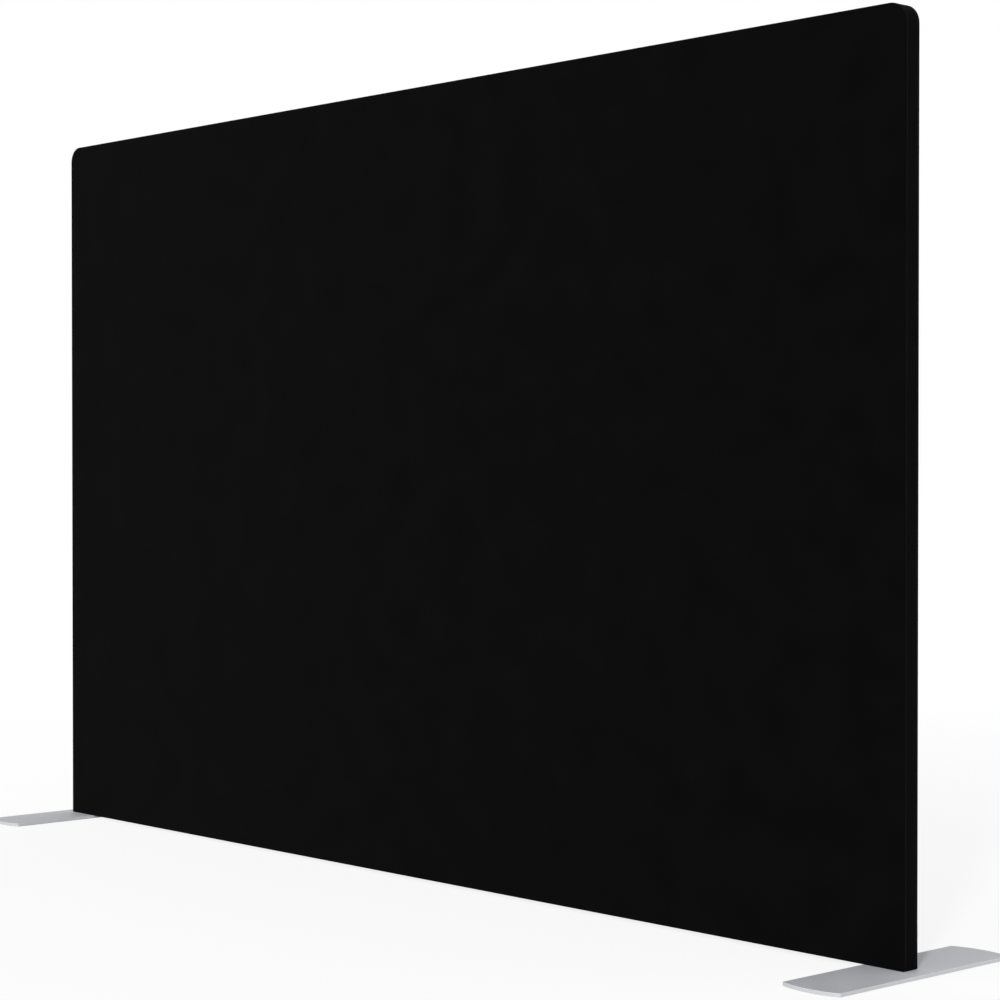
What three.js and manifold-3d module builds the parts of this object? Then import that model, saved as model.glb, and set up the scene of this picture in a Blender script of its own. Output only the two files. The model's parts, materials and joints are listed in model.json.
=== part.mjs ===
// Tabletop fabric display: a knock-down frame of square aluminium tube that stands on two flat
// metal feet, inside a stretched pillowcase cover that closes with a zip low on its back.
// Millimetres. X runs along the panel, Y from its front to its back, Z up. The origin lies on the
// table, under the middle of the panel.

import * as THREE from 'three';
import { mergeVertices } from 'three/addons/utils/BufferGeometryUtils.js';
import Module from 'manifold-3d';

const wasm = await Module();
wasm.setup();

// Whole cover
const coverWidth = 2413;
const coverHeight = 1524;
const coverCornerRadius = 32;
const clothThickness = 1.2;

// Clearances and drawing fineness
const seatGap = 0.3;
const cutOverrun = 2;
const arcSegments = 8;
const edgeSegments = 2;
const roundSegments = 24;
const pinSegments = 12;
const quarterTurn = Math.PI / 2;

// Tubes
const frameTube = { size: 32, wall: 1.5, edgeRadius: 2 };
const postTube = { size: 25, wall: 1.5, edgeRadius: 2 };

// Connectors and joiners that plug into the tubes
const tongueLength = 60;
const tongueWall = 2;

// Snap buttons: a pin on a bent leaf spring
const pinDiameter = 8;
const pinClearance = 0.4;
const pinProud = 3;
const pinTipChamfer = 1.2;
const flangeDiameter = 11;
const flangeThickness = 1;
const buttonSetback = 30;
const leafThickness = 0.6;
const leafWidth = 9;
const leafTail = 5;
const leafLength = 23;
const leafBendRadius = 3;

// Feet
const footThickness = 6;
const footWidth = 116;
const footSideLength = 422;
const footEndRise = 11;
const footCornerRadius = 4;
const footInsetFromEnd = 24.2;
const padThickness = 1;
const padInset = 4;
const padHoleMargin = 2;

// Foot bolt and its threaded insert
const boltDiameter = 8;
const boltHeadDiameter = 16;
const boltHeadHeight = 4;
const boltHeadRecess = 0.4;
const boltLength = 18;
const socketWidth = 5;
const socketDepth = 2.4;
const insertDiameter = 12;
const insertLength = 13;

// Zip across the back
const zipHeight = 55;
const zipTapeWidth = 15;
const zipSlit = 1.6;
const toothRowHeight = 2.4;
const toothRowRise = 1;
const sliderLength = 13;
const sliderHeight = 9.5;
const sliderPlate = 1.3;
const sliderWebLength = 8;
const sliderEndMargin = 78;
const bridgeWidth = 2.6;
const bridgeThickness = 1.2;
const bridgePostLength = 1.6;
const bridgeLength = 9;
const pullLength = 34;
const pullWidth = 8;
const pullThickness = 1.4;
const pullEdgeRadius = 1.5;

// Heights and half sizes that follow from these
const plateTop = padThickness + footThickness;
const coverBottom = plateTop + seatGap;
const coverTop = coverBottom + coverHeight;
const skinStep = clothThickness + seatGap;
const frameHalfWidth = coverWidth / 2 - skinStep;
const frameBottom = coverBottom + skinStep;
const frameTop = coverTop - skinStep;
const frameHalfDepth = frameTube.size / 2;
const coverHalfDepth = frameHalfDepth + skinStep;
const blockHalf = frameTube.size / 2;
const uprightX = frameHalfWidth - blockHalf;
const bottomRailZ = frameBottom + blockHalf;
const topRailZ = frameTop - blockHalf;
const splitZ = (bottomRailZ + topRailZ) / 2;
const zipZ = coverBottom + zipHeight;
const zipTapeTop = zipZ + zipSlit / 2 + zipTapeWidth;
const zipTapeBottom = zipZ - zipSlit / 2 - zipTapeWidth;

const unitX = new THREE.Vector3(1, 0, 0);
const unitZ = new THREE.Vector3(0, 0, 1);
const sides = { left: -1, right: 1 };

// Materials
function finish(name, color, roughness, metalness) {
  return new THREE.MeshStandardMaterial({ name, color, roughness, metalness });
}

const cloth = finish('black stretch polyester', 0x0b0b0c, 0.9, 0);
const zipTape = finish('black zip tape', 0x141415, 0.8, 0);
const zipMetal = finish('black lacquered zinc', 0x2a2a2c, 0.45, 0.6);
const silverPaint = finish('satin silver powder coat', 0xb8b9bd, 0.45, 0.3);
const padRubber = finish('black rubber', 0x1b1b1c, 0.85, 0);
const aluminium = finish('anodised aluminium', 0xc4c6c9, 0.35, 0.9);
const nylon = finish('black moulded nylon', 0x1d1e20, 0.6, 0);
const springSteel = finish('spring steel', 0x8f9296, 0.35, 0.9);
const pinSteel = finish('nickel plated steel', 0xbfc1c4, 0.25, 0.95);
const boltSteel = finish('zinc plated steel', 0xa9adb2, 0.35, 0.9);
const insertBrass = finish('brass', 0xb08d4f, 0.35, 0.9);

// Joins and cuts
function toSolid(geometry) {
  geometry.deleteAttribute('normal');
  geometry.deleteAttribute('uv');
  const welded = mergeVertices(geometry);
  const vertProperties = new Float32Array(welded.getAttribute('position').array);
  const triVerts = new Uint32Array(welded.index.array);
  return new wasm.Manifold(new wasm.Mesh({ numProp: 3, vertProperties, triVerts }));
}

function toGeometry(body) {
  const mesh = body.getMesh();
  const geometry = new THREE.BufferGeometry();
  geometry.setAttribute('position', new THREE.BufferAttribute(mesh.vertProperties, 3));
  geometry.setIndex(new THREE.BufferAttribute(mesh.triVerts, 1));
  geometry.computeVertexNormals();
  return geometry;
}

// Outlines and plain forms
function extrude(outline, depth, curveSegments = arcSegments) {
  return new THREE.ExtrudeGeometry(outline, { depth, bevelEnabled: false, curveSegments });
}

function roundedRectangle(width, height, radius, path = new THREE.Shape()) {
  const x = width / 2 - radius;
  const y = height / 2 - radius;
  path.absarc(x, y, radius, 0, quarterTurn);
  path.absarc(-x, y, radius, quarterTurn, 2 * quarterTurn);
  path.absarc(-x, -y, radius, 2 * quarterTurn, 3 * quarterTurn);
  path.absarc(x, -y, radius, 3 * quarterTurn, 4 * quarterTurn);
  return path;
}

function squareBar(size, radius, from, to) {
  const outline = roundedRectangle(size, size, radius);
  return extrude(outline, to - from, edgeSegments).translate(0, 0, from);
}

// A box between two corners, given as [x, y, z]
function boxBetween(low, high) {
  const size = high.map((value, i) => value - low[i]);
  const middle = high.map((value, i) => (value + low[i]) / 2);
  return new THREE.BoxGeometry(...size).translate(...middle);
}

// Solids of revolution about X or Z, from points [radius, distance along the axis] in rising order
function turnedAlongX(points, segments) {
  const profile = points.map(([radius, along]) => new THREE.Vector2(radius, along));
  return new THREE.LatheGeometry(profile, segments).rotateZ(-quarterTurn);
}

function turnedAlongZ(points, segments) {
  const profile = points.map(([radius, along]) => new THREE.Vector2(radius, along));
  return new THREE.LatheGeometry(profile, segments).rotateX(quarterTurn);
}

// A flat outline drawn in X and Z, given a thickness about the plane y = 0
function standUp(outline, thickness, segments = arcSegments) {
  return extrude(outline, thickness, segments).rotateX(quarterTurn).translate(0, thickness / 2, 0);
}

// An outline in X and Z with a level foot and, where a radius is given, rounded top corners
function panelOutline(left, right, bottom, top, leftRadius, rightRadius) {
  const outline = new THREE.Shape();
  outline.moveTo(left, bottom);
  outline.lineTo(right, bottom);
  if (rightRadius > 0) outline.absarc(right - rightRadius, top - rightRadius, rightRadius, 0, quarterTurn);
  else outline.lineTo(right, top);
  if (leftRadius > 0) outline.absarc(left + leftRadius, top - leftRadius, leftRadius, quarterTurn, Math.PI);
  else outline.lineTo(left, top);
  outline.closePath();
  return outline;
}

// A thin strip of even thickness that follows a line of points in a plane
function ribbon(points, thickness) {
  const normals = points.map((point, i) => {
    const before = points[Math.max(i - 1, 0)];
    const after = points[Math.min(i + 1, points.length - 1)];
    const along = after.clone().sub(before).normalize();
    return new THREE.Vector2(-along.y, along.x).multiplyScalar(thickness / 2);
  });
  const oneFace = points.map((point, i) => point.clone().add(normals[i]));
  const otherFace = points.map((point, i) => point.clone().sub(normals[i]));
  return new THREE.Shape([...oneFace, ...otherFace.reverse()]);
}

// Square tube sections. Locally a tube runs along Z from its start, and its button holes face X.
const tubeBore = (tube) => tube.size - 2 * tube.wall;
const tongueSize = (tube) => tubeBore(tube) - 2 * seatGap;
const tongueBore = (tube) => tongueSize(tube) - 2 * tongueWall;
const boreRadius = (tube) => tube.edgeRadius - tube.wall / 2;

function pinHole(tube, along) {
  const radius = pinDiameter / 2 + pinClearance;
  const reach = tube.size / 2 + cutOverrun;
  const profile = [[0, 0], [radius, 0], [radius, reach], [0, reach]];
  return turnedAlongX(profile, pinSegments).translate(0, 0, along);
}

function tubeGeometry(tube, length, holes) {
  const outline = roundedRectangle(tube.size, tube.size, tube.edgeRadius);
  const bore = tubeBore(tube);
  outline.holes.push(roundedRectangle(bore, bore, boreRadius(tube), new THREE.Path()));
  let body = toSolid(extrude(outline, length, edgeSegments));
  for (const along of holes) body = body.subtract(toSolid(pinHole(tube, along)));
  return toGeometry(body);
}

// A sleeve inside two tubes, centred on the joint between them, with the button hole in its far half
function joinerGeometry(tube) {
  const sleeve = toSolid(squareBar(tongueSize(tube), boreRadius(tube), -tongueLength, tongueLength));
  const farEnd = tongueLength + cutOverrun;
  const bore = toSolid(squareBar(tongueBore(tube), boreRadius(tube), -farEnd, farEnd));
  const hole = toSolid(pinHole(tube, seatGap / 2 + buttonSetback));
  return toGeometry(sleeve.subtract(bore).subtract(hole));
}

// The turn that takes local Z to axis and local X to facing
function turnTo(axis, facing) {
  const across = new THREE.Vector3().crossVectors(axis, facing);
  return new THREE.Matrix4().makeBasis(facing, across, axis);
}

// A moulded block with hollow tongues, each { tube, axis, facing, button }, about the block's centre
function connectorGeometry(block, tongues) {
  let body = block;
  const tip = blockHalf + tongueLength;
  for (const { tube, axis, facing } of tongues) {
    const plug = squareBar(tongueSize(tube), boreRadius(tube), blockHalf - cutOverrun, tip);
    body = body.add(toSolid(plug.applyMatrix4(turnTo(axis, facing))));
  }
  for (const { tube, axis, facing, button } of tongues) {
    const turn = turnTo(axis, facing);
    const bore = squareBar(tongueBore(tube), boreRadius(tube), blockHalf, tip + cutOverrun);
    body = body.subtract(toSolid(bore.applyMatrix4(turn)));
    if (!button) continue;
    const hole = pinHole(tube, blockHalf + seatGap + buttonSetback);
    body = body.subtract(toSolid(hole.applyMatrix4(turn)));
  }
  return toGeometry(body);
}

function teeBlock() {
  return toSolid(new THREE.BoxGeometry(frameTube.size, frameTube.size, frameTube.size));
}

function topCornerBlock(side) {
  const radius = coverCornerRadius - skinStep;
  const leftRadius = side < 0 ? radius : 0;
  const rightRadius = side > 0 ? radius : 0;
  const outline = panelOutline(-blockHalf, blockHalf, -blockHalf, blockHalf, leftRadius, rightRadius);
  return toSolid(standUp(outline, frameTube.size));
}

// The bottom corner stands on the foot through the open corner of the cover, and holds the insert
function bottomCornerBlock() {
  const low = [-blockHalf, -blockHalf, coverBottom - bottomRailZ];
  const high = [blockHalf, blockHalf, blockHalf];
  const pocketRadius = insertDiameter / 2 + seatGap;
  const pocketTop = low[2] + insertLength + 2 * seatGap;
  const start = low[2] - cutOverrun;
  const pocket = [[0, start], [pocketRadius, start], [pocketRadius, pocketTop], [0, pocketTop]];
  return toSolid(boxBetween(low, high)).subtract(toSolid(turnedAlongZ(pocket, roundSegments)));
}

// Snap buttons. Locally the pin points along X from the middle of the tube, which runs along Z.
function buttonHeights(tube) {
  const flangeTop = tongueBore(tube) / 2 - seatGap;
  const flangeBottom = flangeTop - flangeThickness;
  return { flangeTop, flangeBottom, tip: tube.size / 2 + pinProud };
}

function pinGeometry(tube) {
  const { flangeTop, flangeBottom, tip } = buttonHeights(tube);
  const flange = flangeDiameter / 2;
  const pin = pinDiameter / 2;
  const shoulder = tip - pinTipChamfer;
  const points = [[0, flangeBottom], [flange, flangeBottom], [flange, flangeTop], [pin, flangeTop],
    [pin, shoulder], [pin - pinTipChamfer, tip], [0, tip]];
  return toGeometry(toSolid(turnedAlongX(points, pinSegments)));
}

// The spring's one arm lies on the far wall, and its other arm lies under the pin
function leafSpringGeometry(tube) {
  const nearArm = buttonHeights(tube).flangeBottom - seatGap - leafThickness / 2;
  const farArm = seatGap + leafThickness / 2 - tongueBore(tube) / 2;
  const points = [new THREE.Vector2(nearArm, leafTail), new THREE.Vector2(nearArm, -leafTail)];
  for (let i = 0; i <= arcSegments; i += 1) {
    const angle = Math.PI * i / arcSegments;
    const x = farArm + leafBendRadius + leafBendRadius * Math.cos(angle);
    points.push(new THREE.Vector2(x, -leafLength - leafBendRadius * Math.sin(angle)));
  }
  points.push(new THREE.Vector2(farArm, leafTail));
  return toGeometry(toSolid(standUp(ribbon(points, leafThickness), leafWidth)));
}

// Feet
function footOutline(inset) {
  const halfWidth = footWidth / 2;
  const endRadius = (halfWidth ** 2 + footEndRise ** 2) / (2 * footEndRise);
  const endCentre = footSideLength / 2 + footEndRise - endRadius;
  const arcRadius = endRadius - inset;
  const cornerX = halfWidth - inset - footCornerRadius;
  const cornerY = endCentre + Math.sqrt((arcRadius - footCornerRadius) ** 2 - cornerX ** 2);
  const turn = Math.atan2(cornerY - endCentre, cornerX);
  const outline = new THREE.Shape();
  outline.absarc(cornerX, cornerY, footCornerRadius, 0, turn);
  outline.absarc(0, endCentre, arcRadius, turn, Math.PI - turn);
  outline.absarc(-cornerX, cornerY, footCornerRadius, Math.PI - turn, Math.PI);
  outline.absarc(-cornerX, -cornerY, footCornerRadius, Math.PI, Math.PI + turn);
  outline.absarc(0, -endCentre, arcRadius, Math.PI + turn, 2 * Math.PI - turn);
  outline.absarc(cornerX, -cornerY, footCornerRadius, 2 * Math.PI - turn, 2 * Math.PI);
  return outline;
}

// The countersunk bolt's profile, grown by a gap for the hole that it lies in
function boltProfile(gap, top) {
  const head = boltHeadDiameter / 2 + gap;
  const shank = boltDiameter / 2 + gap;
  const bottom = padThickness + boltHeadRecess;
  const neck = bottom + boltHeadHeight;
  return [[0, bottom], [head, bottom], [shank, neck], [shank, top], [0, top]];
}

function boltGeometry() {
  const top = padThickness + boltHeadRecess + boltLength;
  const bolt = toSolid(turnedAlongZ(boltProfile(0, top), roundSegments));
  const hexagon = 6;
  const radius = socketWidth / Math.sqrt(3);
  const socket = new THREE.CylinderGeometry(radius, radius, 2 * socketDepth, hexagon);
  socket.rotateX(quarterTurn).translate(0, 0, padThickness + boltHeadRecess);
  return toGeometry(bolt.subtract(toSolid(socket)));
}

// The recess below the head opens the countersink down through the plate's underside
function plateHole() {
  const head = boltHeadDiameter / 2 + seatGap;
  const profile = boltProfile(seatGap, plateTop + cutOverrun);
  const below = padThickness - cutOverrun;
  profile.splice(0, 1, [0, below], [head, below]);
  return toSolid(turnedAlongZ(profile, roundSegments));
}

function insertGeometry() {
  const outer = insertDiameter / 2;
  const inner = boltDiameter / 2 + seatGap;
  const bottom = coverBottom;
  const top = bottom + insertLength;
  const ring = [[inner, bottom], [outer, bottom], [outer, top], [inner, top], [inner, bottom]];
  return toGeometry(toSolid(turnedAlongZ(ring, roundSegments)));
}

// Each foot is drawn about its bolt, which is its swivel
function addFoot(parent, name, side) {
  const foot = new THREE.Group();
  foot.position.x = side * uprightX;
  parent.add(foot);
  const plateX = side * (coverWidth / 2 - footInsetFromEnd - uprightX);
  const plate = toSolid(extrude(footOutline(0), footThickness).translate(plateX, 0, padThickness));
  addMesh(foot, `foot_plate_${name}`, toGeometry(plate.subtract(plateHole())), silverPaint);
  const holeRadius = boltHeadDiameter / 2 + padHoleMargin;
  const pad = toSolid(extrude(footOutline(padInset), padThickness).translate(plateX, 0, 0));
  const start = -cutOverrun;
  const end = padThickness + cutOverrun;
  const hole = [[0, start], [holeRadius, start], [holeRadius, end], [0, end]];
  const cut = toSolid(turnedAlongZ(hole, roundSegments));
  addMesh(foot, `foot_pad_${name}`, toGeometry(pad.subtract(cut)), padRubber);
  addMesh(foot, `foot_bolt_${name}`, boltGeometry(), boltSteel);
  addMesh(foot, `foot_insert_${name}`, insertGeometry(), insertBrass);
}

// Scene helpers
function addMesh(parent, name, geometry, material) {
  const mesh = new THREE.Mesh(geometry, material);
  mesh.name = name;
  parent.add(mesh);
  return mesh;
}

function addAlong(parent, name, geometry, material, place) {
  const mesh = addMesh(parent, name, geometry, material);
  mesh.position.set(...place.at);
  mesh.quaternion.setFromRotationMatrix(turnTo(place.axis, place.facing));
  return mesh;
}

function addTube(parent, name, tube, length, holes, place) {
  return addAlong(parent, name, tubeGeometry(tube, length, holes), aluminium, place);
}

function addButton(parent, name, tube, place) {
  addAlong(parent, `button_${name}`, pinGeometry(tube), pinSteel, place);
  addAlong(parent, `spring_${name}`, leafSpringGeometry(tube), springSteel, place);
}

const downZ = unitZ.clone().negate();
const inward = (side) => unitX.clone().multiplyScalar(-side);
const outward = (side) => unitX.clone().multiplyScalar(side);
const buttonReach = blockHalf + seatGap + buttonSetback;

// The two uprights with their corners
function addUpright(parent, name, side) {
  const x = side * uprightX;
  const facing = inward(side);
  const lowerStart = bottomRailZ + blockHalf + seatGap;
  const upperEnd = topRailZ - blockHalf - seatGap;
  const upperStart = splitZ + seatGap / 2;
  const lowerLength = splitZ - seatGap / 2 - lowerStart;
  const lower = { at: [x, 0, lowerStart], axis: unitZ, facing };
  const upper = { at: [x, 0, upperStart], axis: unitZ, facing };
  addTube(parent, `upright_lower_${name}`, frameTube, lowerLength, [], lower);
  addTube(parent, `upright_upper_${name}`, frameTube, upperEnd - upperStart, [buttonSetback], upper);
  const joint = { at: [x, 0, splitZ], axis: unitZ, facing };
  addAlong(parent, `upright_joiner_${name}`, joinerGeometry(frameTube), aluminium, joint);
  const pin = { at: [x, 0, upperStart + buttonSetback], axis: unitZ, facing };
  addButton(parent, `upright_${name}`, frameTube, pin);

  const upTongue = { tube: frameTube, axis: unitZ, facing, button: false };
  const downTongue = { tube: frameTube, axis: downZ, facing, button: false };
  const bottomTongue = { tube: frameTube, axis: facing, facing: unitZ, button: true };
  const topTongue = { tube: frameTube, axis: facing, facing: downZ, button: true };
  const bottomCorner = connectorGeometry(bottomCornerBlock(), [upTongue, bottomTongue]);
  const topCorner = connectorGeometry(topCornerBlock(side), [downTongue, topTongue]);
  addMesh(parent, `bottom_corner_${name}`, bottomCorner, nylon).position.set(x, 0, bottomRailZ);
  addMesh(parent, `top_corner_${name}`, topCorner, nylon).position.set(x, 0, topRailZ);
  const pinX = x - side * buttonReach;
  const bottomPin = { at: [pinX, 0, bottomRailZ], axis: facing, facing: unitZ };
  const topPin = { at: [pinX, 0, topRailZ], axis: facing, facing: downZ };
  addButton(parent, `bottom_corner_${name}`, frameTube, bottomPin);
  addButton(parent, `top_corner_${name}`, frameTube, topPin);
}

// A rail runs from the tee to the corner, and its left half is fixed to the tee
function addRail(parent, level, z, facing, name, side) {
  const start = blockHalf + seatGap;
  const length = uprightX - 2 * start;
  const cornerHole = length - buttonSetback;
  const holes = side > 0 ? [buttonSetback, cornerHole] : [cornerHole];
  const place = { at: [side * start, 0, z], axis: outward(side), facing };
  addTube(parent, `${level}_rail_${name}`, frameTube, length, holes, place);
}

// The tees and the post between them
function addCentre(parent) {
  const left = outward(sides.left);
  const right = outward(sides.right);
  const levels = [
    { level: 'bottom', z: bottomRailZ, inwards: unitZ },
    { level: 'top', z: topRailZ, inwards: downZ },
  ];
  for (const { level, z, inwards } of levels) {
    const tongues = [
      { tube: frameTube, axis: left, facing: inwards, button: false },
      { tube: frameTube, axis: right, facing: inwards, button: true },
      { tube: postTube, axis: inwards, facing: unitX, button: true },
    ];
    addMesh(parent, `${level}_tee`, connectorGeometry(teeBlock(), tongues), nylon).position.z = z;
    const railPin = { at: [buttonReach, 0, z], axis: right, facing: inwards };
    addButton(parent, `${level}_tee`, frameTube, railPin);
    const postPin = { at: [0, 0, z + inwards.z * buttonReach], axis: inwards, facing: unitX };
    addButton(parent, `post_${level}`, postTube, postPin);
  }
  const start = bottomRailZ + blockHalf + seatGap;
  const end = topRailZ - blockHalf - seatGap;
  const upperStart = splitZ + seatGap / 2;
  const upperLength = end - upperStart;
  const lower = { at: [0, 0, start], axis: unitZ, facing: unitX };
  const upper = { at: [0, 0, upperStart], axis: unitZ, facing: unitX };
  const upperHoles = [buttonSetback, upperLength - buttonSetback];
  addTube(parent, 'centre_post_lower', postTube, splitZ - seatGap / 2 - start, [buttonSetback], lower);
  addTube(parent, 'centre_post_upper', postTube, upperLength, upperHoles, upper);
  const joint = { at: [0, 0, splitZ], axis: unitZ, facing: unitX };
  addAlong(parent, 'centre_post_joiner', joinerGeometry(postTube), aluminium, joint);
  const pin = { at: [0, 0, upperStart + buttonSetback], axis: unitZ, facing: unitX };
  addButton(parent, 'post_middle', postTube, pin);
}

// Cover: two sheets with edge strips between them
function addCover(parent) {
  const half = coverWidth / 2;
  const radius = coverCornerRadius;
  const sheetY = coverHalfDepth - clothThickness / 2;
  const frontOutline = panelOutline(-half, half, coverBottom, coverTop, radius, radius);
  const front = addMesh(parent, 'fabric_front', standUp(frontOutline, clothThickness), cloth);
  front.position.y = -sheetY;
  const backOutline = panelOutline(-half, half, zipTapeTop + seatGap, coverTop, radius, radius);
  const back = addMesh(parent, 'fabric_back', standUp(backOutline, clothThickness), cloth);
  back.position.y = sheetY;

  const stripDepth = frameTube.size;
  addMesh(parent, 'fabric_top', standUp(topStripOutline(half, radius), stripDepth), cloth);
  const endTop = coverTop - radius - seatGap;
  for (const [name, side] of Object.entries(sides)) {
    const size = [clothThickness, stripDepth, endTop - coverBottom];
    const strip = addMesh(parent, `fabric_end_${name}`, new THREE.BoxGeometry(...size), cloth);
    strip.position.set(side * (half - clothThickness / 2), 0, (endTop + coverBottom) / 2);
  }
  addMesh(parent, 'fabric_hem', hemGeometry(half), cloth);
}

function topStripOutline(half, radius) {
  const inner = radius - clothThickness;
  const centreX = half - radius;
  const centreZ = coverTop - radius;
  const outline = new THREE.Shape();
  outline.absarc(centreX, centreZ, radius, 0, quarterTurn);
  outline.absarc(-centreX, centreZ, radius, quarterTurn, Math.PI);
  outline.absarc(-centreX, centreZ, inner, Math.PI, quarterTurn, true);
  outline.absarc(centreX, centreZ, inner, quarterTurn, 0, true);
  return outline;
}

// The hem is one strip: the cover's underside between the corners, turned up the back to the zip
function hemGeometry(half) {
  const cornerX = frameHalfWidth - frameTube.size - seatGap;
  const hemTop = zipTapeBottom - seatGap;
  const backFace = coverHalfDepth - clothThickness;
  const low = [-cornerX, -frameHalfDepth, coverBottom];
  const underside = boxBetween(low, [cornerX, coverHalfDepth, coverBottom + clothThickness]);
  const back = boxBetween([-half, backFace, coverBottom], [half, coverHalfDepth, hemTop]);
  return toGeometry(toSolid(underside).add(toSolid(back)));
}

// Zip
function tapeGeometry(half, up) {
  const inner = coverHalfDepth - clothThickness;
  const edge = zipZ + up * zipSlit / 2;
  const far = edge + up * zipTapeWidth;
  const toothEnd = edge + up * toothRowHeight;
  const tape = boxBetween([-half, inner, Math.min(edge, far)], [half, coverHalfDepth, Math.max(edge, far)]);
  const rise = coverHalfDepth + toothRowRise;
  const teethLow = [-half, inner, Math.min(edge, toothEnd)];
  const teeth = boxBetween(teethLow, [half, rise, Math.max(edge, toothEnd)]);
  return toGeometry(toSolid(tape).add(toSolid(teeth)));
}

const sliderFace = coverHalfDepth + toothRowRise + seatGap + sliderPlate;
const pullY = sliderFace + seatGap + pullThickness * Math.SQRT1_2;
const bridgeY = pullY + seatGap + pullThickness * Math.SQRT1_2;

// The slider's two plates lie outside and inside the tapes, joined by a web in the slit
function sliderGeometry() {
  const x = sliderLength / 2;
  const z = sliderHeight / 2;
  const innerTop = coverHalfDepth - clothThickness - seatGap;
  const innerBottom = innerTop - sliderPlate;
  const webZ = zipSlit / 2 - seatGap;
  const outer = toSolid(boxBetween([-x, sliderFace - sliderPlate, -z], [x, sliderFace, z]));
  const inner = toSolid(boxBetween([-x, innerBottom, -z], [x, innerTop, z]));
  const webX = sliderWebLength / 2;
  const web = toSolid(boxBetween([-webX, innerBottom, -webZ], [webX, sliderFace, webZ]));
  const endX = bridgeLength / 2;
  const halfWidth = bridgeWidth / 2;
  const top = bridgeY + bridgeThickness;
  let body = outer.add(inner).add(web);
  body = body.add(toSolid(boxBetween([-endX, bridgeY, -halfWidth], [endX, top, halfWidth])));
  for (const end of Object.values(sides)) {
    const postFar = end * endX;
    const postNear = end * (endX - bridgePostLength);
    const low = [Math.min(postFar, postNear), sliderFace - sliderPlate, -halfWidth];
    const high = [Math.max(postFar, postNear), top, halfWidth];
    body = body.add(toSolid(boxBetween(low, high)));
  }
  return toGeometry(body);
}

// The pull is a tab with a window, whose end bar lies under the slider's bridge and is its hinge.
// The window is long enough to swing over the bridge's far corner.
function pullGeometry() {
  const bar = pullThickness / 2;
  const bridgeTop = bridgeY + bridgeThickness - pullY;
  const windowEnd = -Math.hypot(bridgeLength / 2, bridgeTop) - seatGap;
  const windowHalf = bridgeWidth / 2 + seatGap;
  const outline = roundedRectangle(pullLength, pullWidth, pullEdgeRadius);
  const gap = new THREE.Path();
  const shift = pullLength / 2 - bar;
  gap.moveTo(windowEnd + shift, -windowHalf);
  gap.lineTo(windowEnd + shift, windowHalf);
  gap.lineTo(-bar + shift, windowHalf);
  gap.lineTo(-bar + shift, -windowHalf);
  gap.closePath();
  outline.holes.push(gap);
  return standUp(outline, pullThickness, edgeSegments).translate(-shift, 0, 0);
}

function addZip(parent) {
  const half = coverWidth / 2;
  addMesh(parent, 'zip_tape_upper', tapeGeometry(half, 1), zipTape);
  addMesh(parent, 'zip_tape_lower', tapeGeometry(half, -1), zipTape);
  const sliderX = half - sliderEndMargin;
  addMesh(parent, 'zip_slider', sliderGeometry(), zipMetal).position.set(sliderX, 0, zipZ);
  addMesh(parent, 'zip_pull', pullGeometry(), zipMetal).position.set(sliderX, pullY, zipZ);
}

const display = new THREE.Group();
display.name = 'tabletop_display';
for (const [name, side] of Object.entries(sides)) {
  addFoot(display, name, side);
  addUpright(display, name, side);
  addRail(display, 'bottom', bottomRailZ, unitZ, name, side);
  addRail(display, 'top', topRailZ, downZ, name, side);
}
addCentre(display);
addCover(display);
addZip(display);

export default display;
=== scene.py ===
import json
import math

import bmesh
import bpy
from mathutils import Matrix, Vector


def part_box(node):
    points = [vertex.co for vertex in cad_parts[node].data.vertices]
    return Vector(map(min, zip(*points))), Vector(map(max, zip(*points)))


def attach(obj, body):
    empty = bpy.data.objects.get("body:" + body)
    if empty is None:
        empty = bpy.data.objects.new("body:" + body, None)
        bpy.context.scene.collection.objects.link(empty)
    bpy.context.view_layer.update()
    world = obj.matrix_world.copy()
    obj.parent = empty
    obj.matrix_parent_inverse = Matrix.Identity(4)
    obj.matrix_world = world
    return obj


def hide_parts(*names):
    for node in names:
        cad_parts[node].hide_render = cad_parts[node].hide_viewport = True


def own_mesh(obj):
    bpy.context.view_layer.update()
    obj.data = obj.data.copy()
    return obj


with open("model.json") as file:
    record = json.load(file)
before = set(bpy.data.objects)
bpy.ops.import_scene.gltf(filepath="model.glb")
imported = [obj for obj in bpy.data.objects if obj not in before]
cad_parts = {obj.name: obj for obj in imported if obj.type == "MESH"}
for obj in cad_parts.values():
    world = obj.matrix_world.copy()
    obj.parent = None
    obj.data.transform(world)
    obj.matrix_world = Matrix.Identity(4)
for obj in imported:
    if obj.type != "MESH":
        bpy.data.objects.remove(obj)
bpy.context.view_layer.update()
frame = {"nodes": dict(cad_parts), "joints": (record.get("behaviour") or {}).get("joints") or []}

bl_info = {
    "name": "Tabletop fabric display",
    "version": (1, 0, 0),
    "blender": (4, 5, 0),
    "location": "3D View > Sidebar > Display",
    "description": "Dresses the packed display: stretched knit cover, zip, feet and tube frame",
    "category": "Object",
}

MM = 0.001
SIDES = {"left": -1, "right": 1}
ALONG_X = Vector((1, 0, 0))
ALONG_Y = Vector((0, 1, 0))
ALONG_Z = Vector((0, 0, 1))
CLOTH_UV = "cloth"

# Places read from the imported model, in metres
FRONT_LOW, FRONT_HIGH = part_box("fabric_front")
REAR_LOW, REAR_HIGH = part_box("fabric_back")
BAND_LOW, BAND_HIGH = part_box("fabric_top")
HEM_LOW, HEM_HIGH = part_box("fabric_hem")
UPRIGHT_LOW, UPRIGHT_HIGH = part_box("upright_upper_right")
RAIL_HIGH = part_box("bottom_rail_right")[1]
TOP_RAIL_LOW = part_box("top_rail_right")[0]
UPPER_LOW, UPPER_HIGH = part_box("zip_tape_upper")
LOWER_LOW, LOWER_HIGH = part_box("zip_tape_lower")

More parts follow.
